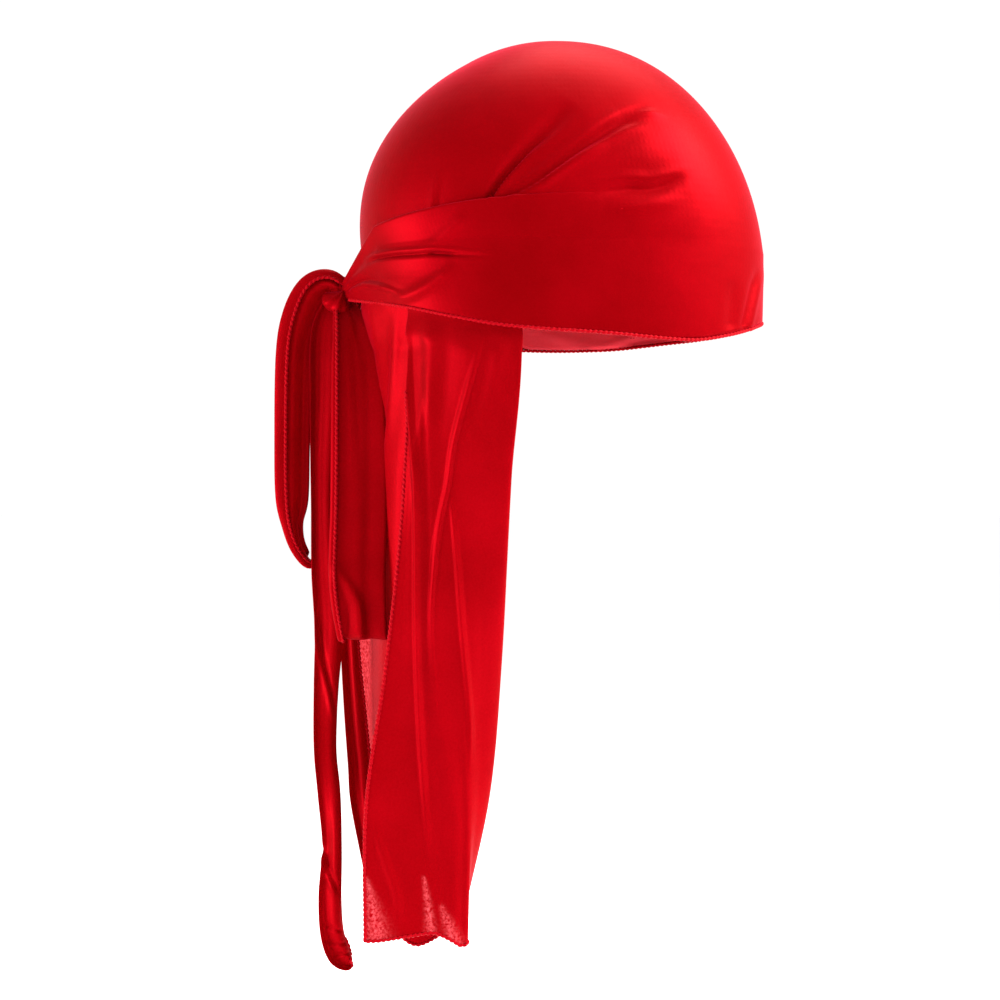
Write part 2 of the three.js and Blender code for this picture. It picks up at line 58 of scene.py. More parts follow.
# %% Camera
CAMERA = {"x": -31.4, "y": -1000.0, "z": -84.9, "lens": 70.0, "sensor": 36.0, "frame": 1000}
MM = 0.001
camera = bpy.data.objects.new("camera", bpy.data.cameras.new("camera"))
camera.data.lens = CAMERA["lens"]
camera.data.sensor_width = CAMERA["sensor"]
camera.location = [CAMERA[axis] * MM for axis in "xyz"]
camera.rotation_euler = (math.radians(90), 0, 0)
bpy.context.scene.collection.objects.link(camera)
bpy.context.scene.camera = camera
FOCAL = CAMERA["lens"] / CAMERA["sensor"] * CAMERA["frame"]
print(f"one step in the picture is {-CAMERA['y'] / FOCAL:.3f} mm in the middle plane")

# %% [markdown]
# ## Curves through tables
#
# Every shape is a short table with named columns. The helper along draws one smooth curve through a
# column, so a row can be moved by itself and its neighbours follow. All lengths are in millimetres
# until a mesh is made.

# %% Curve helpers
def table(names, *rows):
    return [dict(zip(names.split(), row)) for row in rows]


def mix(low, high, share):
    return low + (high - low) * share


def ease(low, high, at):
    t = np.clip((np.asarray(at, float) - low) / (high - low), 0, 1)
    return t * t * (3 - 2 * t)


def smooth_between(keys, values, i, last, at):
    """The curve between entries i and i + 1; keys and values give an entry of the table by number."""
    before = np.maximum(i - 1, 0)
    after = np.minimum(i + 2, last)
    step = keys(i + 1) - keys(i)
    t = (at - keys(i)) / step
    leave = (values(i + 1) - values(before)) / (keys(i + 1) - keys(before)) * step
    arrive = (values(after) - values(i)) / (keys(after) - keys(i)) * step
    rise = values(i + 1) - values(i)
    bend = 3 * rise - 2 * leave - arrive
    return values(i) + t * (leave + t * (bend + t * (leave + arrive - 2 * rise)))


def along(keys, values, at):
    keys = np.asarray(keys, float)
    values = np.asarray(values, float)
    last = len(keys) - 1
    here = np.clip(at, keys[0], keys[last])
    i = np.clip(np.searchsorted(keys, here, side="right") - 1, 0, last - 1)
    return smooth_between(keys.take, values.take, i, last, here)


def column(rows, key, name, at):
    return along([row[key] for row in rows], [row[name] for row in rows], at)


def xyz(x, y, z):
    return np.stack(np.broadcast_arrays(x, y, z), -1)


def unit(vectors):
    return vectors / np.maximum(np.linalg.norm(vectors, axis=-1, keepdims=True), 1e-9)


# %% [markdown]
# ## The head form under the cloth
#
# The crown has the shape of what it is stretched over: an egg in plan, a flattened dome in profile.
# The numbers are those of the frame, so that every piece lands on its own solid. Only the shoulder
# of the front profile is eased in more softly, which moves it by less than a millimetre.

# %% Head form
GAP = 0.35
THREAD_RADIUS = 0.95
EDGE_GAP = 0.1
HEAD = {"centre": -2, "front": 105.4, "back": 100.2, "half": 77.5, "waist": 40, "top": 149.6}
HEAD |= {"squareness": 2.2, "egg": 0.06, "skirt": 50}
FULLNESS = {"front": -0.038, "side": 0.1, "back": 0.05}
FRONT_SHOULDER = 0.75
TUCK = {"front": 1, "side": 3, "back": 9}
RIM = table(
    "angle near far",
    (0, 5, 5),
    (20, 0.3, 3),
    (40, -5.6, 0.5),
    (55, -8.8, -1),
    (80, -6.4, -4),
    (105, -2.8, -3),
    (120, 1.7, 1.7),
    (140, 8, 8),
    (180, 16, 16),
)
STRAP_TOP = table(
    "angle near far",
    (66, 66, 62),
    (85, 61, 58),
    (110, 56.5, 54),
    (135, 51.5, 50),
    (150, 48, 47),
)
KNOT = {"x": -112.5, "y": 0, "z": 21.5, "radius_x": 8, "radius_y": 9, "radius_z": 9.5, "turn": 2.6}


def level_of(z):
    share = np.clip((z - HEAD["waist"]) / (HEAD["top"] - HEAD["waist"]), 0, 1)
    return np.where(z <= HEAD["waist"], z - HEAD["waist"], np.arcsin(share) / (np.pi / 2))


def head_point(angle, level, stand_off=0.0):
    turn = np.radians(angle)
    climb = np.maximum(level, 0) * np.pi / 2
    lean = np.where(level < 0, np.minimum(1, -level / HEAD["skirt"]) ** 2, 0)
    bulge = np.maximum(0, np.sin(3 * climb))
    shoulder = np.maximum(0, np.sin(2 * climb))
    reach = np.cos(climb)
    front = (HEAD["front"] + stand_off - TUCK["front"] * lean) * reach
    front = front * (1 + FULLNESS["front"] * shoulder**FRONT_SHOULDER)
    back = (HEAD["back"] + stand_off - TUCK["back"] * lean) * reach * (1 + FULLNESS["back"] * bulge)
    half = (HEAD["half"] + stand_off - TUCK["side"] * lean) * reach * (1 + FULLNESS["side"] * shoulder)
    c = np.cos(turn)
    s = np.sin(turn)
    power = 2 / HEAD["squareness"]
    x = HEAD["centre"] + np.sign(c) * np.abs(c) ** power * np.where(c > 0, front, back)
    y = np.sign(s) * np.abs(s) ** power * half * (1 - HEAD["egg"] * c)
    z = HEAD["waist"] + np.minimum(level, 0)
    z = z + (HEAD["top"] + stand_off - HEAD["waist"]) * np.sin(climb)
    return xyz(x, y, z)


def two_sided(rows, angle):
    away = np.abs(angle)
    near = column(rows, "angle", "near", away)
    far = column(rows, "angle", "far", away)
    return np.where(np.asarray(angle) < 0, near, far)


def rim_height(angle):
    return two_sided(RIM, angle)


def cloth_edge(angle):
    return rim_height(angle) + 2 * THREAD_RADIUS + EDGE_GAP


print("brow at", head_point(0, level_of(np.float64(5))).round(1), "mm")

# %% [markdown]
# ## Folds and creases
#
# Satin that is pulled tight makes long, narrow folds that fan out from where it is held. Each one is
# listed by the line that it follows as seen by the camera, in steps of the picture, with how deep and
# how wide it is in millimetres and steps. A point of the cloth is moved along its own normal by the
# folds near it. A fold has a valley on its line and ridges beside it, because the cloth that sinks
# in one place stands up in the next.

# %% Crease helpers
def side_view(points):
    away = (points[..., 1] - CAMERA["y"]) / FOCAL
    across = CAMERA["frame"] / 2 + (points[..., 0] - CAMERA["x"]) / away
    down = CAMERA["frame"] / 2 - (points[..., 2] - CAMERA["z"]) / away
    return np.stack([across, down], -1)


def smooth_line(points, steps=8):
    points = np.asarray(points, float)
    at = np.linspace(0, len(points) - 1, (len(points) - 1) * steps + 1)
    keys = np.arange(len(points))
    return np.stack([along(keys, points[:, 0], at), along(keys, points[:, 1], at)], -1)


def crease(line, width, valley, ridge=0, shoulder=0, narrow=1.0, fade=(0.25, 0.35)):
    """One row of a crease table. It fades in and out over these shares of its length."""
    names = ("line", "width", "valley", "ridge", "shoulder", "narrow", "fade")
    return dict(zip(names, (line, width, valley, ridge, shoulder, narrow, fade)))


def crease_lift(view, row):
    """Millimetres that one crease lifts each point: a valley on its line, a ridge on either side."""
    line = smooth_line(row["line"])
    reach = 4 * row["width"] + 4
    low = line.min(0) - reach
    high = line.max(0) + reach
    lift = np.zeros(view.shape[:-1])
    near = np.all((view > low) & (view < high), axis=-1)
    spots = view[near]
    if not len(spots):
        return lift
    best = np.full(len(spots), 1e9)
    signed = np.zeros(len(spots))
    place = np.zeros(len(spots))
    spans = len(line) - 1
    for i in range(spans):
        run = line[i + 1] - line[i]
        away = spots - line[i]
        t = np.clip((away @ run) / (run @ run), 0, 1)
        off = away - t[:, None] * run
        distance = np.hypot(off[:, 0], off[:, 1])
        side = np.sign(run[0] * away[:, 1] - run[1] * away[:, 0])
        closer = distance < best
        best = np.where(closer, distance, best)
        signed = np.where(closer, side * distance, signed)
        place = np.where(closer, (i + t) / spans, place)
    start, end = row["fade"]
    hold = ease(0, start, place) if start else 1.0
    hold = hold * (1 - ease(1 - end, 1, place)) if end else hold
    width = row["width"] * mix(row["narrow"], 1.0, place)
    s = signed / width
    valley = row["valley"] * np.exp(-(s**2))
    ridge = row["ridge"] * np.exp(-((s - 1.5) ** 2))
    shoulder = row["shoulder"] * np.exp(-((s + 1.5) ** 2))
    lift[near] = hold * (ridge + shoulder - valley)
    return lift


def creased(view, creases):
    return sum((crease_lift(view, row) for row in creases), np.zeros(view.shape[:-1]))


# %% [markdown]
# ## From a grid of points to cloth
#
# A sheet is a grid of points on the middle of the cloth. The helper makes its faces, keeps the
# distance along both threads as a UV map in metres for the weave, and gives it a thin wall with the
# Solidify modifier. Real satin is about 0.15 mm thick. The walls here are 0.45 to 0.6 mm, so that
# the edges show. Where a share of painted light is given, it is kept on the points: it says where a
# paler colour is painted to stand for light that comes through one layer.

# %% Cloth helpers
def normals_of(grid):
    return unit(np.cross(np.gradient(grid, axis=0), np.gradient(grid, axis=1)))


def arc_lengths(grid, axis):
    steps = np.linalg.norm(np.diff(grid, axis=axis), axis=-1)
    pad = [(0, 0), (0, 0)]
    pad[axis] = (1, 0)
    return np.pad(np.cumsum(steps, axis=axis), pad)


def object_from(name, points, faces, place_on_cloth, *materials):
    """A smooth object; place_on_cloth turns the corners' point numbers into millimetres on the cloth."""
    mesh = bpy.data.meshes.new(name)
    mesh.from_pydata((points * MM).tolist(), [], faces)
    mesh.update()
    vertex = np.empty(len(mesh.loops), np.int32)
    mesh.loops.foreach_get("vertex_index", vertex)
    layer = mesh.uv_layers.new(name="weave")
    layer.data.foreach_set("uv", (place_on_cloth(vertex) * MM).ravel())
    mesh.shade_smooth()
    for material in materials:
        mesh.materials.append(material)
    piece = bpy.data.objects.new(name, mesh)
    bpy.context.scene.collection.objects.link(piece)
    return piece


def cloth_object(name, grid, wall, *materials, closed=False, tip=None, offset=0.0, painted_light_share=None):
    """A sheet of cloth. A second material is its lining, and tip is the point that closes a dome."""
    rows, columns = grid.shape[:2]
    index = np.arange(rows * columns).reshape(rows, columns)
    right = np.roll(index, -1, 1) if closed else index[:, 1:]
    left = index if closed else index[:, :-1]
    faces = np.stack([left[:-1], left[1:], right[1:], right[:-1]], -1).reshape(-1, 4).tolist()
    points = grid.reshape(-1, 3)
    if tip is not None:
        points = np.vstack([points, tip])
        last = index[-1].tolist()
        faces += [[last[j], rows * columns, last[(j + 1) % columns]] for j in range(columns)]
    wide = np.concatenate([grid, grid[:, :1]], 1) if closed else grid
    u = np.median(arc_lengths(wide, 1), axis=0)
    v = np.median(arc_lengths(grid, 0), axis=1)

    def place_on_cloth(vertex):
        inside = vertex < rows * columns
        corner_u = u[np.where(inside, vertex % columns, 0)]
        corner_v = v[np.where(inside, vertex // columns, rows - 1)]
        if closed:
            order = np.arange(len(vertex))
            quads = order < 4 * (rows - 1) * columns
            seam = quads & (vertex % columns == 0) & (order % 4 >= 2)
            corner_u = np.where(seam, u[-1], corner_u)
        return np.stack([corner_u, corner_v], -1)

    piece = object_from(name, points, faces, place_on_cloth, *materials)
    # The share of painted light is kept on the points for the material to read.
    if painted_light_share is not None:
        layer = piece.data.attributes.new("painted_light_share", "FLOAT", "POINT")
        layer.data.foreach_set("value", painted_light_share.ravel().astype(np.float32))
    shell = piece.modifiers.new("wall", "SOLIDIFY")
    shell.thickness = wall * MM
    shell.offset = offset
    shell.use_even_offset = False
    shell.material_offset = len(materials) - 1
    print(f"{name}: {rows} x {columns} points")
    return piece


# %% [markdown]
# ## Satin
#
# Satin is woven so that long threads float on its face. That gives a soft, stretched highlight in
# the cloth's own colour and a pale pink glow where the cloth turns away. Light also comes through
# one layer. The finish is one deep red with a slow change of tone, a fine weave as bump, a little
# uneven gloss, sheen, and a part that lets light through. The cloth that hangs lets more light
# through than the cloth on the head, and the cloth on the head has a darker base colour, which is
# painted shade. The tail also has paler specks painted into its colour where it lies in one layer.
# They are painted light that stands for light coming through. The crown's inside shows the dull
# back of the cloth, in a much paler pink that is partly painted light coming through the crown.

# %% Material helpers
def new_material(name):
    material = bpy.data.materials.new(name)
    material.use_nodes = True
    material.node_tree.nodes.clear()
    return material


def node(tree, kind, values=(), **settings):
    made = tree.nodes.new(kind)
    for key, value in settings.items():
        setattr(made, key, value)
    for key, value in dict(values).items():
        made.inputs[key].default_value = value
    return made


def ramp(tree, source, low, high):
    made = node(tree, "ShaderNodeMapRange", {"To Min": low, "To Max": high})
    tree.links.new(source, made.inputs["Value"])
    return made.outputs["Result"]


def noise(tree, place, scale, detail, roughness):
    made = node(tree, "ShaderNodeTexNoise", {"Scale": scale, "Detail": detail, "Roughness": roughness})
    tree.links.new(place.outputs["Object"], made.inputs["Vector"])
    return made.outputs["Fac"]


def bands(tree, place, direction, values):
    made = node(tree, "ShaderNodeTexWave", values, wave_type="BANDS", bands_direction=direction)
    tree.links.new(place.outputs["UV"], made.inputs["Vector"])
    return made.outputs["Fac"]


def bump(tree, height, strength, distance):
    made = node(tree, "ShaderNodeBump", {"Strength": strength, "Distance": distance})
    tree.links.new(height, made.inputs["Height"])
    return made


def colour_mix(tree, low, high, share):
    made = node(tree, "ShaderNodeMix", data_type="RGBA")
    if isinstance(low, tuple):
        made.inputs["A"].default_value = (*low, 1)
    else:
        tree.links.new(low, made.inputs["A"])
    made.inputs["B"].default_value = (*high, 1)
    tree.links.new(share, made.inputs["Factor"])
    return made.outputs["Result"]


def math_node(tree, kind, first, second):
    made = tree.nodes.new("ShaderNodeMath")
    made.operation = kind
    for socket, value in zip(made.inputs, (first, second)):
        if isinstance(value, (int, float)):
            socket.default_value = value
        else:
            tree.links.new(value, socket)
    return made.outputs[0]


# %% Satin material
THREAD_PITCH = 0.00036
WAVES_PER_SCALE = 20
# Painted light: the paler pink that the tail's colour is mixed towards where it lies in one layer. It
# stands for light coming through, not for a colour of the cloth.
PAINTED_THROUGH_LIGHT = (0.66, 0.075, 0.09)
# The satin on the head has a darker base colour than the same satin where it hangs below: painted shade,
# not another cloth.
HEAD_SATIN_PAINTED_SHADE_LOOK = {"metal": 0.3, "level": 0.03, "sheen": 0.3, "through": 0.06, "glow": (0.8, 0.012, 0.03)}
HEAD_SATIN_PAINTED_SHADE_LOOK |= {"deep": (0.145, 0.0002, 0.0006), "bright": (0.23, 0.0003, 0.002), "gloss": 0.42}
# The cloth that hangs keeps the paler base colour of the two.
HUNG_LOOK = HEAD_SATIN_PAINTED_SHADE_LOOK | {"through": 0.2, "glow": (0.9, 0.03, 0.05)}
HUNG_LOOK |= {"deep": (0.185, 0.0003, 0.001), "bright": (0.29, 0.0006, 0.003), "metal": 0.25}
# The crown's inside is the dull back of the cloth. Its much paler pink is partly painted light: it stands
# for light that comes through the crown, not only for the colour of the back.
BACK_CLOTH_PAINTED_LIGHT_LOOK = {"metal": 0.0, "level": 0.0, "sheen": 0.3, "through": 0.3, "glow": (0.9, 0.08, 0.11)}
BACK_CLOTH_PAINTED_LIGHT_LOOK |= {"deep": (0.66, 0.035, 0.05), "bright": (0.8, 0.05, 0.07), "gloss": 0.72}


def satin(name, look):
    material = new_material(name)
    tree = material.node_tree
    link = tree.links.new
    place = node(tree, "ShaderNodeTexCoord")
    fine_bands = {"Distortion": 1.2, "Detail": 2.0, "Detail Scale": 2.0}
    weave = [
        bands(tree, place, way, {"Scale": share / THREAD_PITCH / WAVES_PER_SCALE} | fine_bands)
        for way, share in (("X", 0.9), ("Y", 0.55))
    ]
    grain = noise(tree, place, 1500.0, 3.0, 0.7)
    slow = noise(tree, place, 22.0, 3.0, 0.55)
    soft = noise(tree, place, 90.0, 2.0, 0.5)
    gaps = noise(tree, place, 800.0, 4.0, 0.7)
    tone = math_node(tree, "MULTIPLY", slow, 0.7)
    tone = math_node(tree, "ADD", tone, math_node(tree, "MULTIPLY", grain, 0.3))
    painted = colour_mix(tree, look["deep"], look["bright"], ramp(tree, tone, -0.4, 1.4))
    # Painted light: where the points carry a share of it, the colour goes to a paler pink in mottled
    # specks, standing for light that comes through one layer.
    if look.get("painted_through_light"):
        painted_light_share = node(tree, "ShaderNodeAttribute", attribute_name="painted_light_share").outputs["Fac"]
        strong = ramp(tree, gaps, -1.7, 2.6)
        painted = colour_mix(tree, painted, look["painted_through_light"], math_node(tree, "MULTIPLY", painted_light_share, strong))
    threads = math_node(tree, "MULTIPLY", weave[0], weave[1])
    threads = math_node(tree, "ADD", threads, math_node(tree, "MULTIPLY", grain, 0.8))
    fine = bump(tree, threads, 0.35, 0.00006)
    broad = bump(tree, soft, 0.25, 0.0006)
    link(fine.outputs["Normal"], broad.inputs["Normal"])
    face = node(
        tree,
        "ShaderNodeBsdfPrincipled",
        {
            "Metallic": look["metal"],
            "IOR": 1.45,
            "Specular IOR Level": look["level"],
            "Specular Tint": (1.0, 0.01, 0.3, 1),
            "Sheen Weight": look["sheen"],
            "Sheen Roughness": 0.35,
            "Sheen Tint": (1.0, 0.02, 0.07, 1),
        },
    )
    gloss = look["gloss"]
    link(painted, face.inputs["Base Color"])
    link(ramp(tree, slow, gloss - 0.04, gloss + 0.05), face.inputs["Roughness"])
    link(broad.outputs["Normal"], face.inputs["Normal"])
    behind = node(tree, "ShaderNodeBsdfTranslucent", {"Color": (*look["glow"], 1)})
    both = node(tree, "ShaderNodeMixShader")
    through = look["through"]
    link(ramp(tree, gaps, 0.1 * through, 1.9 * through), both.inputs["Fac"])
    link(face.outputs["BSDF"], both.inputs[1])
    link(behind.outputs["BSDF"], both.inputs[2])
    out = node(tree, "ShaderNodeOutputMaterial")
    link(both.outputs["Shader"], out.inputs["Surface"])
    return material


SATIN = satin("red_satin", HEAD_SATIN_PAINTED_SHADE_LOOK)
HUNG = satin("red_satin_hung", HUNG_LOOK)
TAIL_SATIN_PAINTED_LIGHT = satin("red_satin_tail_painted_light", HUNG_LOOK | {"painted_through_light": PAINTED_THROUGH_LIGHT})
BACK_CLOTH_PAINTED_LIGHT = satin("red_satin_back_painted_light", BACK_CLOTH_PAINTED_LIGHT_LOOK)
print("satin and its dull back made")

# %% [markdown]
# ## Overlock thread
#
# Cut edges are closed with an overlock stitch: a loop of thread round the edge every 2.5 mm, which
# makes the edge look like a thin beaded cord. It is darker and duller than the satin. It is made
# where it shows: under the rim, round the tail and on edges of the bow. The loops are real shape
# here, a tube whose radius swells in slanted waves, and the fibres are bump.

# %% Thread material
def thread(name, deep, bright):
    material = new_material(name)
    tree = material.node_tree
    link = tree.links.new
    place = node(tree, "ShaderNodeTexCoord")
    fibres = bands(tree, place, "DIAGONAL", {"Scale": 400.0, "Distortion": 4.0, "Detail": 3.0})
    fluff = noise(tree, place, 700.0, 4.0, 0.7)
    raised = bump(tree, math_node(tree, "ADD", fibres, fluff), 0.5, 0.0002)
    face = node(
        tree,
        "ShaderNodeBsdfPrincipled",
        {"Specular IOR Level": 0.08, "Sheen Weight": 0.2, "Sheen Roughness": 0.5},
    )
    face.inputs["Specular Tint"].default_value = (1.0, 0.08, 0.12, 1)
    face.inputs["Sheen Tint"].default_value = (1.0, 0.03, 0.05, 1)
    link(colour_mix(tree, deep, bright, fluff), face.inputs["Base Color"])
    link(ramp(tree, fluff, 0.5, 0.75), face.inputs["Roughness"])
    link(raised.outputs["Normal"], face.inputs["Normal"])
    out = node(tree, "ShaderNodeOutputMaterial")
    link(face.outputs["BSDF"], out.inputs["Surface"])
    return material


THREAD = thread("red_thread", deep=(0.15, 0.0005, 0.0015), bright=(0.38, 0.001, 0.006))

# %% Overlocked edge
STITCH = {"pitch": 2.5, "steps": 8, "sides": 8, "swell": 0.5, "slant": 1.0}
END_ROUNDNESS = 0.02


def even_path(points, spacing):
    steps = np.linalg.norm(np.diff(points, axis=0), axis=1)
    length = np.concatenate([[0], np.cumsum(steps)])
    at = np.linspace(0, length[-1], max(int(length[-1] / spacing), 4) + 1)
    return np.stack([np.interp(at, length, points[:, i]) for i in range(3)], -1), at


def stitched_edge(name, paths, radius):
    """One object with a beaded tube along each path, each closed with a rounded end."""
    points = []
    faces = []
    spots = []
    for path in paths:
        line, at = even_path(np.asarray(path, float), STITCH["pitch"] / STITCH["steps"])
        ahead = unit(np.gradient(line, axis=0))
        side = np.zeros_like(line)
        side[0] = unit(np.cross(ahead[0], [0.3, 0.9, 0.2]))
        for i in range(1, len(line)):
            side[i] = unit(side[i - 1] - ahead[i] * np.dot(side[i - 1], ahead[i]))
        other = np.cross(ahead, side)
        sides = STITCH["sides"]
        round_ = np.arange(sides) * 2 * np.pi / sides
        phase = at[:, None] / STITCH["pitch"] * np.pi + STITCH["slant"] * round_[None] / 2
        swell = 1 - STITCH["swell"] * (1 - np.abs(np.cos(phase)))
        ends = np.clip(np.minimum(at, at[-1] - at) / radius, 0, 1)
        taper = np.sqrt(np.maximum(1 - (1 - ends) ** 2, END_ROUNDNESS))
        size = radius * swell * taper[:, None]
        ring = (
            line[:, None]
            + side[:, None] * (size * np.cos(round_))[..., None]
            + other[:, None] * (size * np.sin(round_))[..., None]
        )
        base = sum(len(p) for p in points)
        index = base + np.arange(len(line) * sides).reshape(len(line), sides)
        turned = np.roll(index, -1, 1)
        quads = np.stack([index[:-1], index[1:], turned[1:], turned[:-1]], -1).reshape(-1, 4)
        faces += quads.tolist() + [index[0].tolist(), index[-1][::-1].tolist()]
        points.append(ring.reshape(-1, 3))
        u = np.broadcast_to(at[:, None], size.shape)
        v = np.broadcast_to(round_[None] * radius, size.shape)
        spots.append(np.stack([u, v], -1).reshape(-1, 2))
    spots = np.vstack(spots)
    piece = object_from(name, np.vstack(points), faces, lambda vertex: spots[vertex], THREAD)
    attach(piece, "root")
    print(f"{name}: {len(faces)} faces")
    return piece


# %% [markdown]
# ## Crown
#
# The crown is one stretched sheet over the head. From its side, folds fan up and forward out of the
# place where the strap begins, because the strap pulls there. The broad folds are those of the
# frame, a little shallower, and the sharper creases on top of them are the scene's own. The far
# side has the same creases, moved a little and less deep. The sheet has more columns on its sides.

# %% Crown folds
PULL_FOLDS = table(
    "side x0 z0 x1 z1 depth width",
    (-1, -38, 57, 4, 105, -3, 9),
    (-1, -24, 62, 26, 102, 2, 9),
    (-1, -19, 70, 42, 103, -2.6, 8),
    (-1, 14, 62, 58, 71, -2, 9),
    (1, -42, 56, -4, 100, -2.8, 9),
    (1, -26, 60, 24, 96, 2, 9),
    (1, 8, 60, 56, 74, -2, 9),
)
CROWN_CREASES = [
    crease([(484, 204), (499, 177), (521, 151), (547, 128), (576, 101)], 8, 1.7, ridge=1.3, shoulder=0.4,
           narrow=0.4, fade=(0.06, 0.5)),
    crease([(486, 203), (498, 182), (514, 162), (532, 146)], 2.4, 0.7, fade=(0.1, 0.5)),
    crease([(498, 200), (540, 177), (585, 144), (622, 121), (652, 112)], 6.5, 1.4, ridge=0.9,
           shoulder=0.5, narrow=0.5, fade=(0.1, 0.3)),
    crease([(596, 136), (629, 117), (655, 113), (670, 119)], 3.4, -0.7, fade=(0.4, 0.5)),
    crease([(532, 196), (557, 172), (590, 150), (612, 138)], 6, -0.8, narrow=0.8, fade=(0.3, 0.5)),
    crease([(575, 194), (628, 186), (655, 186), (694, 174)], 5.5, 1.3, shoulder=0.8, fade=(0.4, 0.3)),
    crease([(431, 214), (434, 194), (441, 166)], 3.4, -0.6, ridge=-0.3, fade=(0.05, 0.6)),
    crease([(600, 210), (640, 206), (690, 196)], 7, -0.7, fade=(0.5, 0.4)),
]
FRONT_PLEAT = [
    crease([(760, 262), (754, 284), (750, 302), (744, 328)], 3.2, 0.9, shoulder=0.6, fade=(0.4, 0.02)),
    crease([(735, 272), (733, 300), (731, 330)], 6, 0.6, fade=(0.5, 0.05)),
]
RIM_WRINKLES = [
    crease([(540, 330), (575, 343), (610, 340)], 5, 0.8),
    crease([(572, 352), (610, 345), (650, 333)], 3, 0.9, ridge=0.6),
    crease([(620, 346), (665, 340), (710, 338)], 3, -0.8, ridge=-0.5),
]


def fold_lift(points):
    lift = np.zeros(points.shape[:-1])
    for fold in PULL_FOLDS:
        run = np.array([fold["x1"] - fold["x0"], fold["z1"] - fold["z0"]], float)
        away_x = points[..., 0] - fold["x0"]
        away_z = points[..., 2] - fold["z0"]
        t = np.clip((away_x * run[0] + away_z * run[1]) / (run @ run), 0, 1)
        distance = np.hypot(away_x - t * run[0], away_z - t * run[1])
        shape = np.exp(-((distance / fold["width"]) ** 2)) * np.sin(np.pi * (0.15 + 0.85 * t))
        lift = lift + np.where(fold["side"] * points[..., 1] < 0, 0, fold["depth"] * shape)
    return lift


# %% Crown
TAIL_ANGLE = 104
JOIN_RISE = 10
CROWN_WALL = 0.6
DEPTH = {"folds": 0.85, "creases": 1.6, "far": 0.8}
FAR_CREASES = {"about": [520, 200], "stretch": [1.06, 0.94], "moved_to": [528, 204]}
CROWN_MESH = {"columns": 380, "skirt_rows": 22, "dome_rows": 94, "crowding": 19, "dome_end": 0.985}
RIM_WRINKLES_BELOW = 30


def crown_edge(angle):
    return cloth_edge(angle) + JOIN_RISE * ease(TAIL_ANGLE - 8, TAIL_ANGLE + 6, np.abs(angle))


def mirrored(points):
    return points * np.array([1, -1, 1])


def crown_lift(points):
    near = points[..., 1] < 0
    as_near = np.where(near[..., None], points, mirrored(points))
    view = side_view(as_near)
    far_view = (view - FAR_CREASES["about"]) * FAR_CREASES["stretch"] + FAR_CREASES["moved_to"]
    far_lift = DEPTH["far"] * creased(far_view, CROWN_CREASES)
    lift = np.where(near, creased(view, CROWN_CREASES), far_lift)
    lift = lift + creased(view, FRONT_PLEAT)
    low_far = ~near & (points[..., 2] < RIM_WRINKLES_BELOW)
    return lift + np.where(low_far, creased(side_view(points), RIM_WRINKLES), 0)


def crown_offset(points):
    return DEPTH["folds"] * fold_lift(points) + DEPTH["creases"] * crown_lift(points)


def crown_grid():
    size = CROWN_MESH
    even = np.linspace(-180, 180, size["columns"], endpoint=False)
    angle = even + size["crowding"] * np.sin(np.radians(2 * even))
    edge = level_of(crown_edge(angle))
    up = np.linspace(0, 1, size["skirt_rows"], endpoint=False)[:, None]
    dome = np.linspace(0, size["dome_end"], size["dome_rows"])[:, None] + 0 * edge[None]
    level = np.vstack([mix(edge[None], 0, up), dome])
    angle = angle[None] + 0 * level
    return head_point(angle, level, crown_offset(head_point(angle, level)))


crown = cloth_object(
    "crown_cloth",
    crown_grid()[:, ::-1],
    CROWN_WALL,
    SATIN,
    BACK_CLOTH_PAINTED_LIGHT,
    closed=True,
    tip=head_point(0, 1.0)[None],
    offset=-1,
)

# %% [markdown]
# ## Straps
#
# Each strap grows out of the crown's front corner, runs back round the head and is gathered into
# the knot. Its top edge is folded over, which shows as a thin bright roll. At the temple the sheet
# sinks into the crown, so that no front edge shows. Towards the knot it is laid in knife pleats.

# %% Strap surface
STRAP = {"start_top": 80, "start_rim": 50, "leave": 150, "on_head": 0.78}
STRAP |= {"pleats": 2.5, "pleat_depth": 1.0, "gather_from": 0.35, "gathered": 7, "sunk": 0.05}
STRAP |= {"rise_top": 0.4, "rise_rim": 0.7, "wall": 0.5, "stand": 0.9, "roll": 1.0, "lean": 1.6}


def strap_middle(side, u, v):
    """A point of the strap: u runs from its front end to the knot, v from the rim to the top."""
    on_head = np.minimum(u / STRAP["on_head"], 1)
    start = mix(STRAP["start_rim"], STRAP["start_top"], v)
    angle = side * mix(start, STRAP["leave"], on_head)
    z = mix(cloth_edge(angle), two_sided(STRAP_TOP, angle), v)
    gather = ease(STRAP["gather_from"], 1, u)
    pleat = STRAP["pleat_depth"] * (1 - np.cos(2 * np.pi * STRAP["pleats"] * v)) / 2
    bare = head_point(angle, level_of(z))
    rise = ease(0, mix(STRAP["rise_rim"], STRAP["rise_top"], v), u)
    flush = crown_offset(bare) - STRAP["wall"] / 2 - STRAP["sunk"] * (1 - ease(0, 0.1, u))
    proud = STRAP["stand"] + gather * pleat + np.maximum(0, fold_lift(bare)) + STRAP["lean"] * v**2
    point = head_point(angle, level_of(z), mix(flush, proud, rise))
    free = np.maximum(0, (u - STRAP["on_head"]) / (1 - STRAP["on_head"]))[..., None]
    knot_side = xyz(
        KNOT["x"] + 1 - pleat / 2,
        side * (KNOT["radius_y"] - pleat / 4),
        KNOT["z"] + (v - 0.5) * STRAP["gathered"],
    )
    return mix(point, knot_side, free)


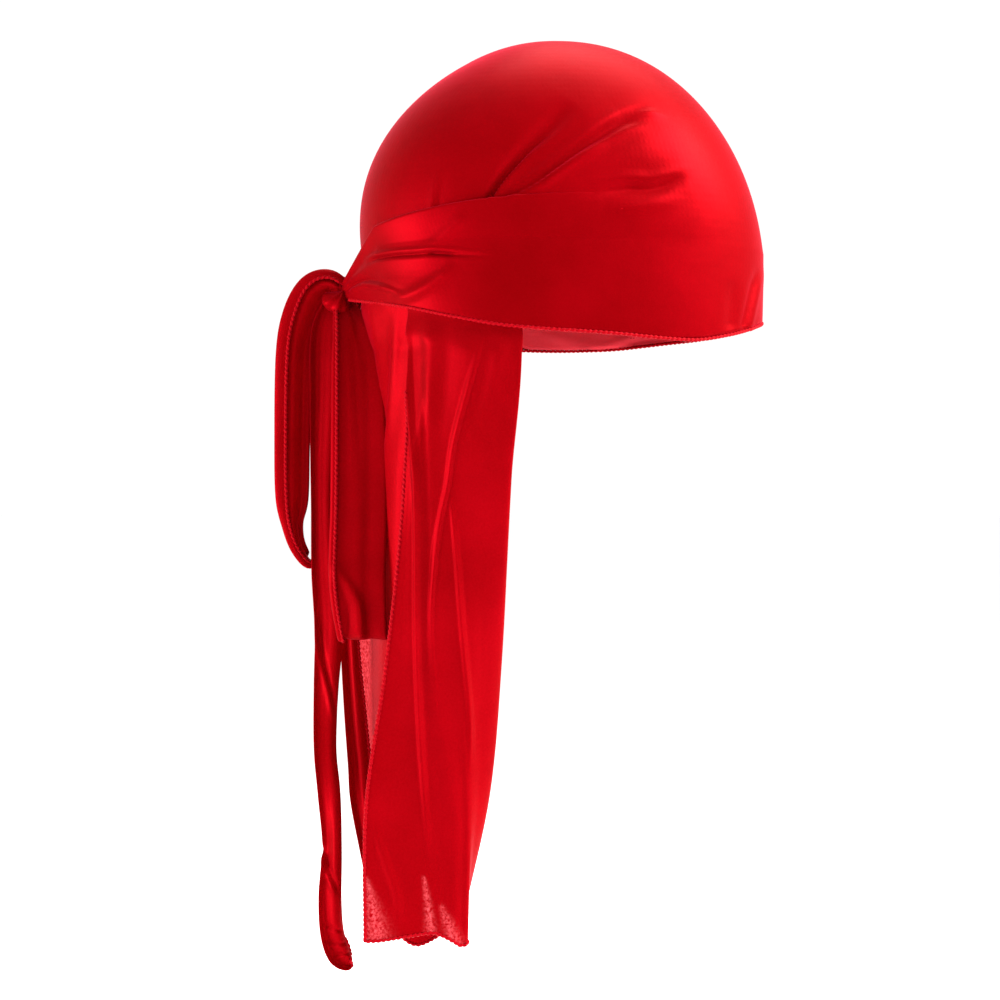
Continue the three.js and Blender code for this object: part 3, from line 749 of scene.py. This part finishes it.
STRAP_CREASES = [
    crease([(366, 266), (373, 260), (390, 256), (415, 254), (440, 253), (470, 255), (500, 257)], 2.4, 1.6,
           shoulder=0.9, fade=(0.3, 0.45)),
    crease([(424, 252), (440, 253), (458, 255)], 2.0, 1.6, fade=(0.3, 0.3)),
    crease([(470, 210), (450, 230), (432, 246), (410, 257)], 7, -1.1, fade=(0.2, 0.4)),
    crease([(458, 262), (442, 276), (426, 287), (408, 296), (390, 300)], 6, -1.2, fade=(0.25, 0.2)),
    crease([(348, 293), (364, 285), (376, 285), (389, 289), (410, 298)], 2.6, -1.1, shoulder=-0.5,
           fade=(0.1, 0.4)),
]


def strap_sheet(side, columns=300, rows=80):
    """Outer layer from the rim up, then round the folded top edge and a short way down inside."""
    u = np.linspace(0, 1, columns)[None]
    v = np.linspace(0, 1, rows)[:, None]
    outer = strap_middle(side, u + 0 * v, v + 0 * u)
    view = side_view(outer if side < 0 else mirrored(outer))
    held = ease(0, 0.3, u) * (1 - ease(0.93, 1, u)) + 0 * v
    lift = creased(view, STRAP_CREASES) * held * (1.0 if side < 0 else DEPTH["far"])
    normal = normals_of(outer)
    facing = np.sign(np.sum(normal * (outer - [HEAD["centre"], 0, 40]), -1, keepdims=True))
    outer = outer + normal * facing * lift[..., None]
    top = outer[-1]
    out = (normal * facing)[-1]
    up = unit(outer[-1] - outer[-2])
    shown = ease(0.0, 0.14, u)[0][:, None]
    radius = STRAP["roll"] * shown * (1 - 0.4 * ease(0.8, 1, u)[0][:, None]) + 0.02
    layers = [outer]
    for turn in np.linspace(22, 180, 8):
        angle = math.radians(turn)
        rise = up * radius * math.sin(angle)
        layers.append((top + rise - out * radius * 0.9 * (1 - math.cos(angle)))[None])
    inner = layers[-1][0]
    for depth in (1.0, 2.2, 4.0):
        layers.append((inner - up * depth * (0.1 + 0.9 * shown))[None])
    return np.vstack(layers)


straps = {}
strap_hems = {}
for side, name in ((-1, "right_strap"), (1, "left_strap")):
    sheet = strap_sheet(side)
    strap_hems[side] = sheet[0]
    grid = sheet if side < 0 else sheet[:, ::-1]
    straps[name] = cloth_object(f"{name}_cloth", grid, STRAP["wall"], SATIN)

# %% [markdown]
# ## Front hem
#
# The overlocked edge runs under the rim from knot to knot. It follows the crown at the brow and the
# lower edge of the straps after that.

# %% Front hem
HEM = {"steps": 240, "brow_share": 0.3, "reach": 0.97, "tuck": 0.3, "drop": 0.7}


def hem_path():
    points = []
    for i in range(HEM["steps"] + 1):
        u = abs(2 * i / HEM["steps"] - 1)
        side = -1 if i < HEM["steps"] / 2 else 1
        if u < HEM["brow_share"]:
            angle = side * STRAP["start_rim"] * u / HEM["brow_share"]
            bare = head_point(angle, level_of(cloth_edge(angle)))
            point = head_point(angle, level_of(cloth_edge(angle)), crown_offset(bare) - HEM["tuck"])
        else:
            share = HEM["reach"] * (u - HEM["brow_share"]) / (1 - HEM["brow_share"])
            edge = strap_hems[side]
            even = np.linspace(0, 1, len(edge))
            point = [np.interp(share, even, edge[:, axis]) for axis in range(3)]
        points.append(np.asarray(point).reshape(3) - [0, 0, THREAD_RADIUS * HEM["drop"]])
    return np.array(points)


front_hem = stitched_edge("front_hem_stitches", [hem_path()], THREAD_RADIUS)

# %% [markdown]
# ## Tail
#
# The tail is one wide sheet that hangs from the nape. Its near side is turned back over itself, so
# its stitched edge lies on the outside. Each row of the table is one fold: where it leaves the
# head, and where it is in plan at four heights. The cloth between the folds is one smooth curve.
# Sharper creases are listed by their lines, as on the crown, once for the near layer and once for
# the layer behind it. The last two tables say where the cloth lies in one layer and gets paler
# specks of painted light, which stand for light coming through.

# %% Tail folds
TAIL_LEVELS = [-85, -170, -235, -304]
TAIL_FOLDS = table(
    "at angle off hem plan",
    (0, -139, 3.4, 0, [(-78.5, -54), (-88, -44), (-97.5, -40), (-98.4, -35)]),
    (0.05, -134, 3.4, 0.5, [(-76, -55.5), (-81, -44.5), (-88, -39.5), (-89, -34.5)]),
    (0.11, -129, 4.6, 4, [(-72.5, -57), (-73, -45.5), (-69, -39), (-67, -34.5)]),
    (0.16, -123, 3.2, 3, [(-64, -58), (-68, -45), (-62, -38.5), (-61, -34)]),
    (0.2, -115, 4.4, 0, [(-57.5, -59), (-63, -45.5), (-55, -38.5), (-55, -34)]),
    (0.25, -110, 3.4, -2.5, [(-54, -59.5), (-55, -44.5), (-50, -37), (-51, -32.5)]),
    (0.3, -106, 4.2, -1.5, [(-49, -60), (-48.5, -43.5), (-46.5, -36), (-47.5, -31)]),
    (0.34, -103, 3.2, 2, [(-40, -60.5), (-42, -40), (-43, -32), (-50, -27)]),
    (0.39, -100, 2.6, 3, [(-27, -60), (-31, -32), (-37, -24), (-52, -17)]),
    (0.43, -104, -0.8, 0, [(-31, -52), (-38, -23), (-44, -16), (-58, -11)]),
    (0.5, -126, -0.8, -6, [(-57, -40), (-60, -25), (-66, -18), (-73, -16)]),
    (0.6, -152, -0.8, 0, [(-84, -31), (-86, -19), (-86, -15), (-84, -11)]),
    (0.68, -180, -0.8, 2, [(-92, -3), (-99, 15), (-98, 14), (-87, 6)]),
    (0.76, -206, -0.8, 0, [(-89, 26), (-106, 30), (-101, 26), (-84, 22)]),
    (0.86, -232, -0.8, 2, [(-64, 47), (-70, 46), (-70, 40), (-68, 34)]),
    (0.95, -252, -0.8, 0, [(-38, 57), (-44, 46), (-50, 40), (-54, 35)]),
    (1, -258, -0.8, 0, [(-32, 53), (-40, 38), (-46, 32), (-52, 27)]),
)
FRONT_FOLD = 0.39
NAPE = {"leave": -4, "free": -75, "pull": 0.8, "full": 4.2, "rise": 5, "tuck": -1.0, "hide": -1.5}
BACK_CREASES = [
    crease([(397, 300), (394, 372), (387, 452), (385, 521), (386, 640)], 2.6, -1.7, shoulder=0.5,
           fade=(0.2, 0.3)),
    crease([(371, 298), (375, 322), (379, 356), (382, 420)], 3.4, -1.3, ridge=0.6, fade=(0.3, 0.5)),
    crease([(386, 298), (387, 350), (385, 430), (384, 520)], 4, 0.7, fade=(0.3, 0.4)),
]
TAIL_CREASES = [
    crease([(407, 306), (409, 395), (415, 487), (416, 638), (420, 742), (431, 890)], 1.92, -1.8,
           shoulder=0.7, fade=(0.14, 0.2)),
    crease([(487, 324), (469, 388), (455, 441), (448, 487), (439, 532), (432, 601), (433, 659),
            (441, 718)], 1.76, -1.3, ridge=0.7, fade=(0.14, 0.3)),
    crease([(449, 482), (455, 544), (462, 638), (469, 718), (470, 784)], 1.92, -1.35, shoulder=0.6,
           fade=(0.3, 0.3)),
    crease([(371, 812), (385, 860), (397, 895), (398, 926)], 4.0, -1.35, fade=(0.3, 0.3)),
    crease([(420, 330), (424, 430), (428, 560), (431, 700)], 4.0, 0.7, fade=(0.35, 0.4)),
]


def along_each(heights, values, z):
    """The same smooth curve as along(), where every point of the grid has its own heights."""
    keys = np.stack(heights)
    worth = np.stack(values)
    last = len(keys) - 1
    here = np.clip(z, keys[0], keys[last])
    i = np.clip((keys[1:-1] < here).sum(0), 0, last - 1)

    def pick(rows):
        return lambda k: np.take_along_axis(rows, k[None], 0)[0]

    return smooth_between(pick(keys), pick(worth), i, last, here)


def tail_surface(across, down):
    def at(name):
        return column(TAIL_FOLDS, "at", name, across)

    def plan(level, axis):
        return along([r["at"] for r in TAIL_FOLDS], [r["plan"][level][axis] for r in TAIL_FOLDS], across)

    raw = at("angle")
    angle = np.where(raw < -180, raw + 360, raw)
    inside = ease(FRONT_FOLD + 0.03, FRONT_FOLD + 0.07, across)
    top = mix(rim_height(angle) + NAPE["rise"], crown_edge(angle) - GAP, inside)
    bottom = TAIL_LEVELS[-1] + at("hem")
    z = mix(top, bottom, down)
    tucked = mix(NAPE["tuck"], at("off"), inside)
    near_off = mix(at("off"), tucked, ease(-14, 2, z - rim_height(angle)))
    hidden = np.where(across > FRONT_FOLD + 0.02, NAPE["hide"] * (1 - ease(0.55, 0.68, across)), 0)
    on_head = head_point(angle, level_of(z), near_off + hidden)
    heights = [bottom] + [np.full_like(bottom, level) for level in TAIL_LEVELS[2::-1]]
    heights.append(np.full_like(bottom, NAPE["leave"]))
    free = 1 - ease(NAPE["free"], NAPE["leave"], z)
    spots = []
    for axis in (0, 1):
        values = [plan(3, axis), plan(2, axis), plan(1, axis), plan(0, axis)]
        values.append(mix(values[-1], on_head[..., axis], NAPE["pull"]))
        hung = along_each(heights, values, z)
        spots.append(mix(on_head[..., axis], hung, free))
    behind = ease(0.52, 0.6, across) * (1 - ease(0.76, 0.86, across))
    spots[0] = spots[0] - NAPE["full"] * behind * (1 - ease(10, 26, z)) * ease(-60, -2, z)
    return np.stack([*spots, z], -1)


# %% Tail
TAIL_WALL = 0.5
TAIL_THREAD_RADIUS = 1.05
TAIL_MESH = {"rows": 180, "columns": 240, "front_columns": 0.6}
STITCHED_FROM = {"near": 25, "far": 8}
# Where the tail gets paler specks of painted light, which stand for light that comes through one layer.
PAINTED_LIGHT_NEAR = [
    crease([(367, 880), (373, 912), (377, 944)], 13, -0.9, narrow=0.15, fade=(0, 0)),
    crease([(424, 878), (428, 905), (431, 934)], 5, -0.9, narrow=0.3, fade=(0, 0)),
    crease([(442, 908), (449, 926), (456, 947)], 8, -0.8, narrow=0.3, fade=(0, 0)),
]
PAINTED_LIGHT_BEHIND = [
    crease([(371, 772), (368, 720), (366, 630)], 15, -0.7, narrow=0.15, fade=(0, 0)),
]


def tail_grid():
    rows, columns = TAIL_MESH["rows"], TAIL_MESH["columns"]
    even = np.linspace(0, 1, columns)
    spread = np.interp(even, [0, TAIL_MESH["front_columns"], 1], [0, FRONT_FOLD + 0.02, 1])
    across = spread[None] + np.zeros((rows, 1))
    down = np.linspace(0, 1, rows)[:, None] + np.zeros((1, columns))
    sheet = tail_surface(across, down)
    normal = normals_of(sheet)
    towards = np.where(normal[..., 1] > 0, -1, 1)[..., None]
    view = side_view(sheet)
    folds = creased(view, TAIL_CREASES) * (1 - ease(FRONT_FOLD - 0.05, FRONT_FOLD, across))
    behind = ease(0.45, 0.49, across) * (1 - ease(0.64, 0.69, across))
    folds = (folds + creased(view, BACK_CREASES) * behind) * ease(0.0, 0.06, down)
    sheet = sheet + normal * towards * folds[..., None]
    # The share of painted light: paler specks where the tail lies in one layer.
    on_near = creased(view, PAINTED_LIGHT_NEAR) * (across < FRONT_FOLD)
    facing = ease(0.1, 0.45, np.abs(normal[..., 1])) * (across > FRONT_FOLD)
    return sheet, np.clip(on_near + creased(view, PAINTED_LIGHT_BEHIND) * facing, 0, 1)


tail_sheet, painted_light_where = tail_grid()
tail = cloth_object("tail_cloth", tail_sheet, TAIL_WALL, TAIL_SATIN_PAINTED_LIGHT, painted_light_share=painted_light_where)
near_edge = tail_sheet[STITCHED_FROM["near"] :, 0]
far_edge = tail_sheet[STITCHED_FROM["far"] :, -1][::-1]
tail_path = np.vstack([near_edge, tail_sheet[-1, 1:], far_edge[1:]])
tail_hem = stitched_edge("tail_hem_stitches", [tail_path], TAIL_THREAD_RADIUS)

# %% [markdown]
# ## Bow
#
# The bow is made of the two strap ends, which leave the knot as gathered ribbons. Each ribbon is a
# row of stations from the knot outwards, with its width, its depth and the way that it faces, and
# a section that says how its cloth is folded. Both edges of the loops are overlocked. The long end
# shows stitches round its tip, and the short end round its tip and up one edge.

# %% Bow tables
SIDE_LOOP = {
    "section": [(-0.42, 0.9), (-0.75, 0.75), (-1, 0.2), (-0.8, -0.3), (-0.4, -0.1), (-0.05, 0.35),
                (0.3, -0.1), (0.6, -0.75), (0.9, -0.3), (1, -0.6), (0.7, -1)],
    "stations": [
        (-111, -7, 20.5, 12, 6, 10, -84),
        (-119, -8, 25.5, 14, 7, 10, -72),
        (-127, -8.5, 21.5, 17, 7, 10, -45),
        (-133, -8.5, 8, 19, 7, 12, -18),
        (-136.5, -8, -12, 18.5, 7, 12, -4),
        (-137.5, -7, -55, 18, 6, 12),
        (-137.5, -7, -84, 17, 6, 16),
        (-137.3, -5.5, -98, 11.5, 6, 22),
        (-134.5, -3, -109, 10, 5, 40),
        (-129, 3, -116.5, 9.5, 4.5, 60),
        (-123, 8.5, -112, 10, 4, 100),
        (-121, 12, -86, 12, 5, 150),
        (-122, 12, -50, 14, 5, 165),
        (-123, 11, -12, 12, 4, 160),
        (-121.5, 7, 8, 9, 3, 140),
        (-116, 3, 20, 8, 4, 130),
    ],
}
FRONT_LOOP = {
    "section": [(-0.8, 1), (-0.93, 0.95), (-1, 0.5), (-0.9, 0.1), (-0.5, 0.25), (0, 0.5), (0.35, 0.1),
                (0.7, 0.4), (0.95, 0.5), (1, 0), (0.8, -0.8), (0.3, -1)],
    "stations": [
        (-111, -5, 17, 11, 6, 8),
        (-107.5, -15, 3, 17, 6, 6),
        (-104, -21, -16, 24, 5, 4),
        (-102.5, -24, -48, 27, 5, 2),
        (-102.3, -25, -90, 28, 5, 0),
        (-103, -25, -125, 28, 5, 0),
        (-101, -22, -151, 25, 4, 0),
        (-100.5, -17, -154, 24, 2, 0),
        (-101.5, -12.5, -148, 22, 2, 0),
        (-104, -11, -110, 20, 2, 0),
        (-105, -10, -50, 18, 2, 2),
        (-107, -8, -8, 12, 2, 4),
        (-110, -4, 10, 8, 2, 6),
    ],
    "creases": [
        crease([(329, 560), (340, 573), (352, 590), (360, 608), (361, 640)], 3.6, -1.7, ridge=0.9,
               fade=(0.2, 0.05)),
        crease([(352, 326), (356, 380), (359, 450), (360, 540)], 5, 0.9, ridge=0.4, fade=(0.1, 0.6)),
        crease([(344, 600), (346, 620), (345, 640)], 3, 1.0, fade=(0.4, 0.05)),
    ],
}
LONG_TIE = {
    "section": [(-1, 0.3), (-0.6, -0.5), (-0.1, 0.1), (0.4, 0.8), (0.75, 0.5), (1, -0.3)],
    "stations": [
        (-114.5, -6, 17, 13, 5, 20),
        (-119.5, -6, 0, 17, 6, 12),
        (-120.5, -6, -32, 16, 6, 8),
        (-121.8, -5.5, -66, 13, 4, 5),
        (-122, -5, -90, 12, 4, 5),
        (-121, -3, -122, 14, 4, 5),
        (-119, -4, -150, 14.5, 4, 0),
        (-120.5, -4, -182, 12.5, 3, 0),
        (-121, -4, -212, 11.5, 3, 10),
        (-119, -4, -235, 11.5, 3, 0),
        (-117.5, -4, -262, 10.5, 4, -20),
        (-118.5, -4, -288, 11.5, 5, 0),
        (-117.5, -4, -306, 12, 6, 10),
        (-114, -4, -317, 12.5, 7, 20, 25),
        (-110, -4, -321.5, 9, 6, 30, 60),
        (-107.5, -4, -321.5, 4.5, 4, 30, 80),
    ],
    "creases": [
        crease([(314, 590), (320, 643), (331, 689), (338, 722)], 2.4, 1.5, ridge=0.9, fade=(0.2, 0.2)),
        crease([(317, 838), (328, 866), (339, 896)], 2.4, 1.6, ridge=0.8, fade=(0.2, 0.2)),
        crease([(322, 924), (336, 930), (346, 932)], 1.7, 0.9, ridge=0.5),
        crease([(323, 940), (338, 944), (350, 942)], 1.7, 1.0, ridge=0.5),
        crease([(330, 956), (342, 954), (354, 952)], 1.7, 0.9, ridge=0.4),
    ],
}
SHORT_TIE = {
    "section": [(-1, 0.3), (-0.4, -1), (0.3, 0.8), (1, 0)],
    "stations": [
        (-113.5, 5, 11, 7, 3, -10),
        (-112, 9, -4, 9, 3, -8),
        (-110, 10, -50, 9, 3, 0),
        (-110, 10, -110, 9, 3, 0),
        (-109.5, 8, -156, 9, 3, 0),
        (-107, 6, -190, 10.5, 3, 5),
        (-104, 2, -221, 11.5, 3, 5),
        (-102.5, -2, -240, 11, 3, 0),
        (-97, -8, -273, 8, 2, 0),
    ],
}
STATION = ("x", "y", "z", "width", "depth", "turn", "climb")


# %% Ribbon helper
def ribbon(shape, rows=190, columns=54):
    stations = np.array([(*row, 0)[: len(STATION)] for row in shape["stations"]], float)
    keys = np.arange(len(stations))
    t = np.linspace(0, len(stations) - 1, rows)

    def station(name, at):
        return along(keys, stations[:, STATION.index(name)], at)

    def centre(at):
        return np.stack([station(axis, at) for axis in "xyz"], -1)

    last = len(stations) - 1
    ahead = unit(centre(np.minimum(t + 0.2, last)) - centre(np.maximum(t - 0.2, 0)))
    turn = np.radians(station("turn", t))
    climb = np.radians(station("climb", t))
    facing = np.stack([np.cos(turn) * np.cos(climb), np.sin(turn) * np.cos(climb), np.sin(climb)], -1)
    out = unit(np.cross(facing, ahead))
    widthways = unit(np.cross(ahead, out))
    section = np.array(shape["section"], float)
    s = np.linspace(0, len(section) - 1, columns)
    across = along(np.arange(len(section)), section[:, 0], s)
    depth = along(np.arange(len(section)), section[:, 1], s)
    half_width = (station("width", t) / 2)[:, None, None]
    half_depth = (station("depth", t) / 2)[:, None, None]
    sheet = centre(t)[:, None] + widthways[:, None] * half_width * across[None, :, None]
    sheet = sheet - out[:, None] * half_depth * depth[None, :, None]
    lift = creased(side_view(sheet), shape.get("creases", []))
    return sheet - out[:, None] * lift[..., None]


# %% Loops and tie ends
RIBBON_WALL = 0.45
IN_KNOT = 6
TIP_REACH = 34


def stitched_paths(name, sheet):
    """Where the overlock shows on a ribbon. Its first rows are hidden in the knot."""
    tip = sheet[-1]
    up_right = sheet[IN_KNOT:-1, -1][::-1]
    if name == "tie_end_long":
        return [np.vstack([sheet[-2:, 0], tip[1:], up_right[: TIP_REACH - 1]])]
    if name == "tie_end_short":
        return [np.vstack([tip, up_right])]
    return [sheet[IN_KNOT:-IN_KNOT, 0], sheet[IN_KNOT:-IN_KNOT, -1]]


def bow_piece(name, shape):
    sheet = ribbon(shape)
    cloth = cloth_object(f"{name}_cloth", sheet, RIBBON_WALL, HUNG)
    return cloth, stitched_edge(f"{name}_stitches", stitched_paths(name, sheet), THREAD_RADIUS)


side_loop, side_loop_hem = bow_piece("bow_loop_side", SIDE_LOOP)
front_loop, front_loop_hem = bow_piece("bow_loop_front", FRONT_LOOP)
long_tie, long_tie_hem = bow_piece("tie_end_long", LONG_TIE)
short_tie, short_tie_hem = bow_piece("tie_end_short", SHORT_TIE)

# %% [markdown]
# ## Knot
#
# The knot is strap cloth wound tightly over itself: a pinched core, two crossing turns with the fine
# ribs of the gathered strap, and a fan of folds on the near side. How it is really tied is hidden.

# %% Knot
TURN = {"ribs": 7, "rib": 0.09, "swell": 0.12, "flat": 0.92, "tall": 1.3}


def turn_of_strap(tilt, lean, thick, rows=96, columns=40):
    round_ = np.linspace(0, 2 * np.pi, rows, endpoint=False)[:, None]
    small = np.linspace(0, 2 * np.pi, columns, endpoint=False)[None]
    ring = KNOT["radius_y"] - KNOT["turn"]
    pleat = 1 + TURN["rib"] * np.cos(TURN["ribs"] * small + 0.8 * np.sin(2 * round_))
    tube = KNOT["turn"] * thick * pleat * (1 + TURN["swell"] * np.sin(3 * round_ + tilt))
    x = (ring + tube * np.cos(small)) * np.cos(round_) * TURN["flat"]
    y = (ring + tube * np.cos(small)) * np.sin(round_)
    z = tube * np.sin(small) * TURN["tall"]
    points = xyz(x, y, z)
    a = math.radians(lean)
    b = math.radians(tilt)
    about_y = np.array([[math.cos(a), 0, math.sin(a)], [0, 1, 0], [-math.sin(a), 0, math.cos(a)]])
    about_x = np.array([[1, 0, 0], [0, math.cos(b), -math.sin(b)], [0, math.sin(b), math.cos(b)]])
    return points @ about_y.T @ about_x.T


WRAP = {"x": -110.8, "z": 21.8, "y": -8.5, "from": 186, "to": 292, "reach": 13.5, "bulge": 5.5}
WRAP |= {"ribs": 3.4, "rib": 0.75}


def wrapped_patch(rows=56, columns=60):
    """The flap of strap over the near side of the knot: a fan of folds from one pinched point."""
    t = np.linspace(0, 1, columns)[None]
    r = np.linspace(0, 2, rows)[:, None]
    out = 1 - np.abs(r - 1)
    turn = np.radians(mix(WRAP["from"], WRAP["to"], t))
    reach = WRAP["reach"] * (0.72 + 0.28 * np.sin(np.pi * t) ** 0.8) * (1 + 0.04 * np.sin(9 * t))
    swell = np.sqrt(np.maximum(1 - (2 * out - 1) ** 2, 0)) * (1 - np.abs(2 * t - 1) ** 3)
    ribs = WRAP["rib"] * np.sin(2 * np.pi * (WRAP["ribs"] * t + 0.25 * out)) * out
    front = -(WRAP["bulge"] + ribs) * swell
    y = WRAP["y"] + np.where(r <= 1, front, 1.5 * swell) - 1.5 * out
    x = WRAP["x"] + np.cos(turn) * reach * out
    z = WRAP["z"] + np.sin(turn) * reach * out
    return xyz(x, y, z)


def knot_object():
    rows, columns = 60, 90
    polar = np.linspace(0.03, np.pi - 0.03, rows)[:, None]
    round_ = np.linspace(0, 2 * np.pi, columns, endpoint=False)[None]
    pleat = 1 + 0.05 * np.sin(9 * round_ + 2 * polar) * np.sin(polar)
    core = xyz(
        (KNOT["radius_x"] - 1) * np.sin(polar) * np.cos(round_) * pleat,
        (KNOT["radius_y"] - 1) * np.sin(polar) * np.sin(round_) * pleat,
        (KNOT["radius_z"] - 1) * np.cos(polar) + 0 * round_,
    )
    middle = [KNOT["x"], KNOT["y"], KNOT["z"]]
    grids = [(core + middle, False), (wrapped_patch()[:, ::-1], False)]
    for tilt, lean, thick in ((20, 65, 1.0), (-38, 100, 0.9)):
        grids.append((turn_of_strap(tilt, lean, thick) + middle, True))
    points = []
    faces = []
    for grid, ring in grids:
        base = sum(len(p) for p in points)
        index = base + np.arange(grid.shape[0] * grid.shape[1]).reshape(grid.shape[:2])
        below = np.roll(index, -1, 0) if ring else index[1:]
        here = index if ring else index[:-1]
        quads = np.stack([here, below, np.roll(below, -1, 1), np.roll(here, -1, 1)], -1)
        faces += quads.reshape(-1, 4).tolist()
        if not ring:
            faces += [index[0].tolist(), index[-1][::-1].tolist()]
        points.append(grid.reshape(-1, 3))
    points = np.vstack(points)
    return object_from("knot_cloth", points, faces, lambda vertex: points[vertex][:, [0, 2]], SATIN)


knot = knot_object()

# %% [markdown]
# ## Putting the pieces on the frame
#
# Every piece rides on the one body of the frame, stands for its own solid, and takes its finish
# from a slot. The table also gives every sheet an estimate of the flat size that it was cut to.

# %% Ride and replace
CLOTH = [
    (crown, ("crown_right", "crown_left"), (0.34, 0.28), 0.084, "stretched", (), (front_hem,)),
    (straps["right_strap"], ("right_strap",), (0.065, 0.20), None, "gathered", (crown,), ()),
    (straps["left_strap"], ("left_strap",), (0.065, 0.20), None, "gathered", (crown,), ()),
    (tail, ("tail",), (0.28, 0.32), None, "hung", (crown,), (tail_hem,)),
    (knot, ("knot",), (0.03, 0.04), None, "gathered", (), ()),
    (side_loop, ("bow_loop_side",), (0.036, 0.27), None, "gathered", (knot,), (side_loop_hem,)),
    (front_loop, ("bow_loop_front",), (0.040, 0.31), None, "gathered", (knot,), (front_loop_hem,)),
    (long_tie, ("tie_end_long",), (0.018, 0.34), None, "hung", (knot,), (long_tie_hem,)),
    (short_tie, ("tie_end_short",), (0.014, 0.29), None, "hung", (knot,), (short_tie_hem,)),
]
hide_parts("front_hem")
for piece, nodes, flat, area, held, rests_on, with_pieces in CLOTH:
    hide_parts(*nodes)
    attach(piece, "root")
print(len(CLOTH), "sheets declared")

# %% [markdown]
# ## Floor and light
#
# A plain white floor below the tail runs far past the picture. A large soft light high at the
# wearer's front, a weaker one low behind the back and a third high on the far side leave the middle
# of the side darker, which is what gives satin its long bands of light and shade.

# %% Floor
FLOOR = {"half": 60, "z": -0.55, "white": (0.96, 0.96, 0.96, 1)}
floor_mesh = bpy.data.meshes.new("floor")
signs = ((-1, -1), (1, -1), (1, 1), (-1, 1))
corners = [(x * FLOOR["half"], y * FLOOR["half"], FLOOR["z"]) for x, y in signs]
floor_mesh.from_pydata(corners, [], [(0, 1, 2, 3)])
floor = bpy.data.objects.new("floor", floor_mesh)
bpy.context.scene.collection.objects.link(floor)
paint = new_material("floor_paint")
chalk_look = {"Base Color": FLOOR["white"], "Roughness": 1.0}
chalk = node(paint.node_tree, "ShaderNodeBsdfPrincipled", chalk_look)
sink = node(paint.node_tree, "ShaderNodeOutputMaterial")
paint.node_tree.links.new(chalk.outputs["BSDF"], sink.inputs["Surface"])
floor_mesh.materials.append(paint)

# %% Light
LIGHTS = table(
    "name at size power",
    ("front_light", (1.5, -0.28, 1.1), 1.0, 138),
    ("back_light", (-1.5, -0.45, -0.3), 0.7, 38),
    ("top_light", (0.25, 0.5, 1.6), 1.1, 28),
)
LIGHT_AIM = [-0.02, 0, -0.02]
SKY_STRENGTH = 1.05
for row in LIGHTS:
    lamp = bpy.data.lights.new(row["name"], "AREA")
    lamp.size = row["size"]
    lamp.energy = row["power"]
    holder = bpy.data.objects.new(row["name"], lamp)
    bpy.context.scene.collection.objects.link(holder)
    holder.location = row["at"]
    aim = np.array(LIGHT_AIM) - np.array(row["at"])
    level = math.hypot(aim[0], aim[1])
    holder.rotation_euler = (math.atan2(level, -aim[2]), 0, math.atan2(aim[1], aim[0]) - math.pi / 2)

world = bpy.data.worlds.new("studio")
world.use_nodes = True
sky = world.node_tree.nodes["Background"]
sky.inputs["Color"].default_value = (1, 1, 1, 1)
sky.inputs["Strength"].default_value = SKY_STRENGTH
bpy.context.scene.world = world
bpy.context.scene.view_settings.view_transform = "Standard"

# %% [markdown]
# ## End
#
# The dressed durag should stay close to the box of its frame.

# %% End
print("end of the scene")
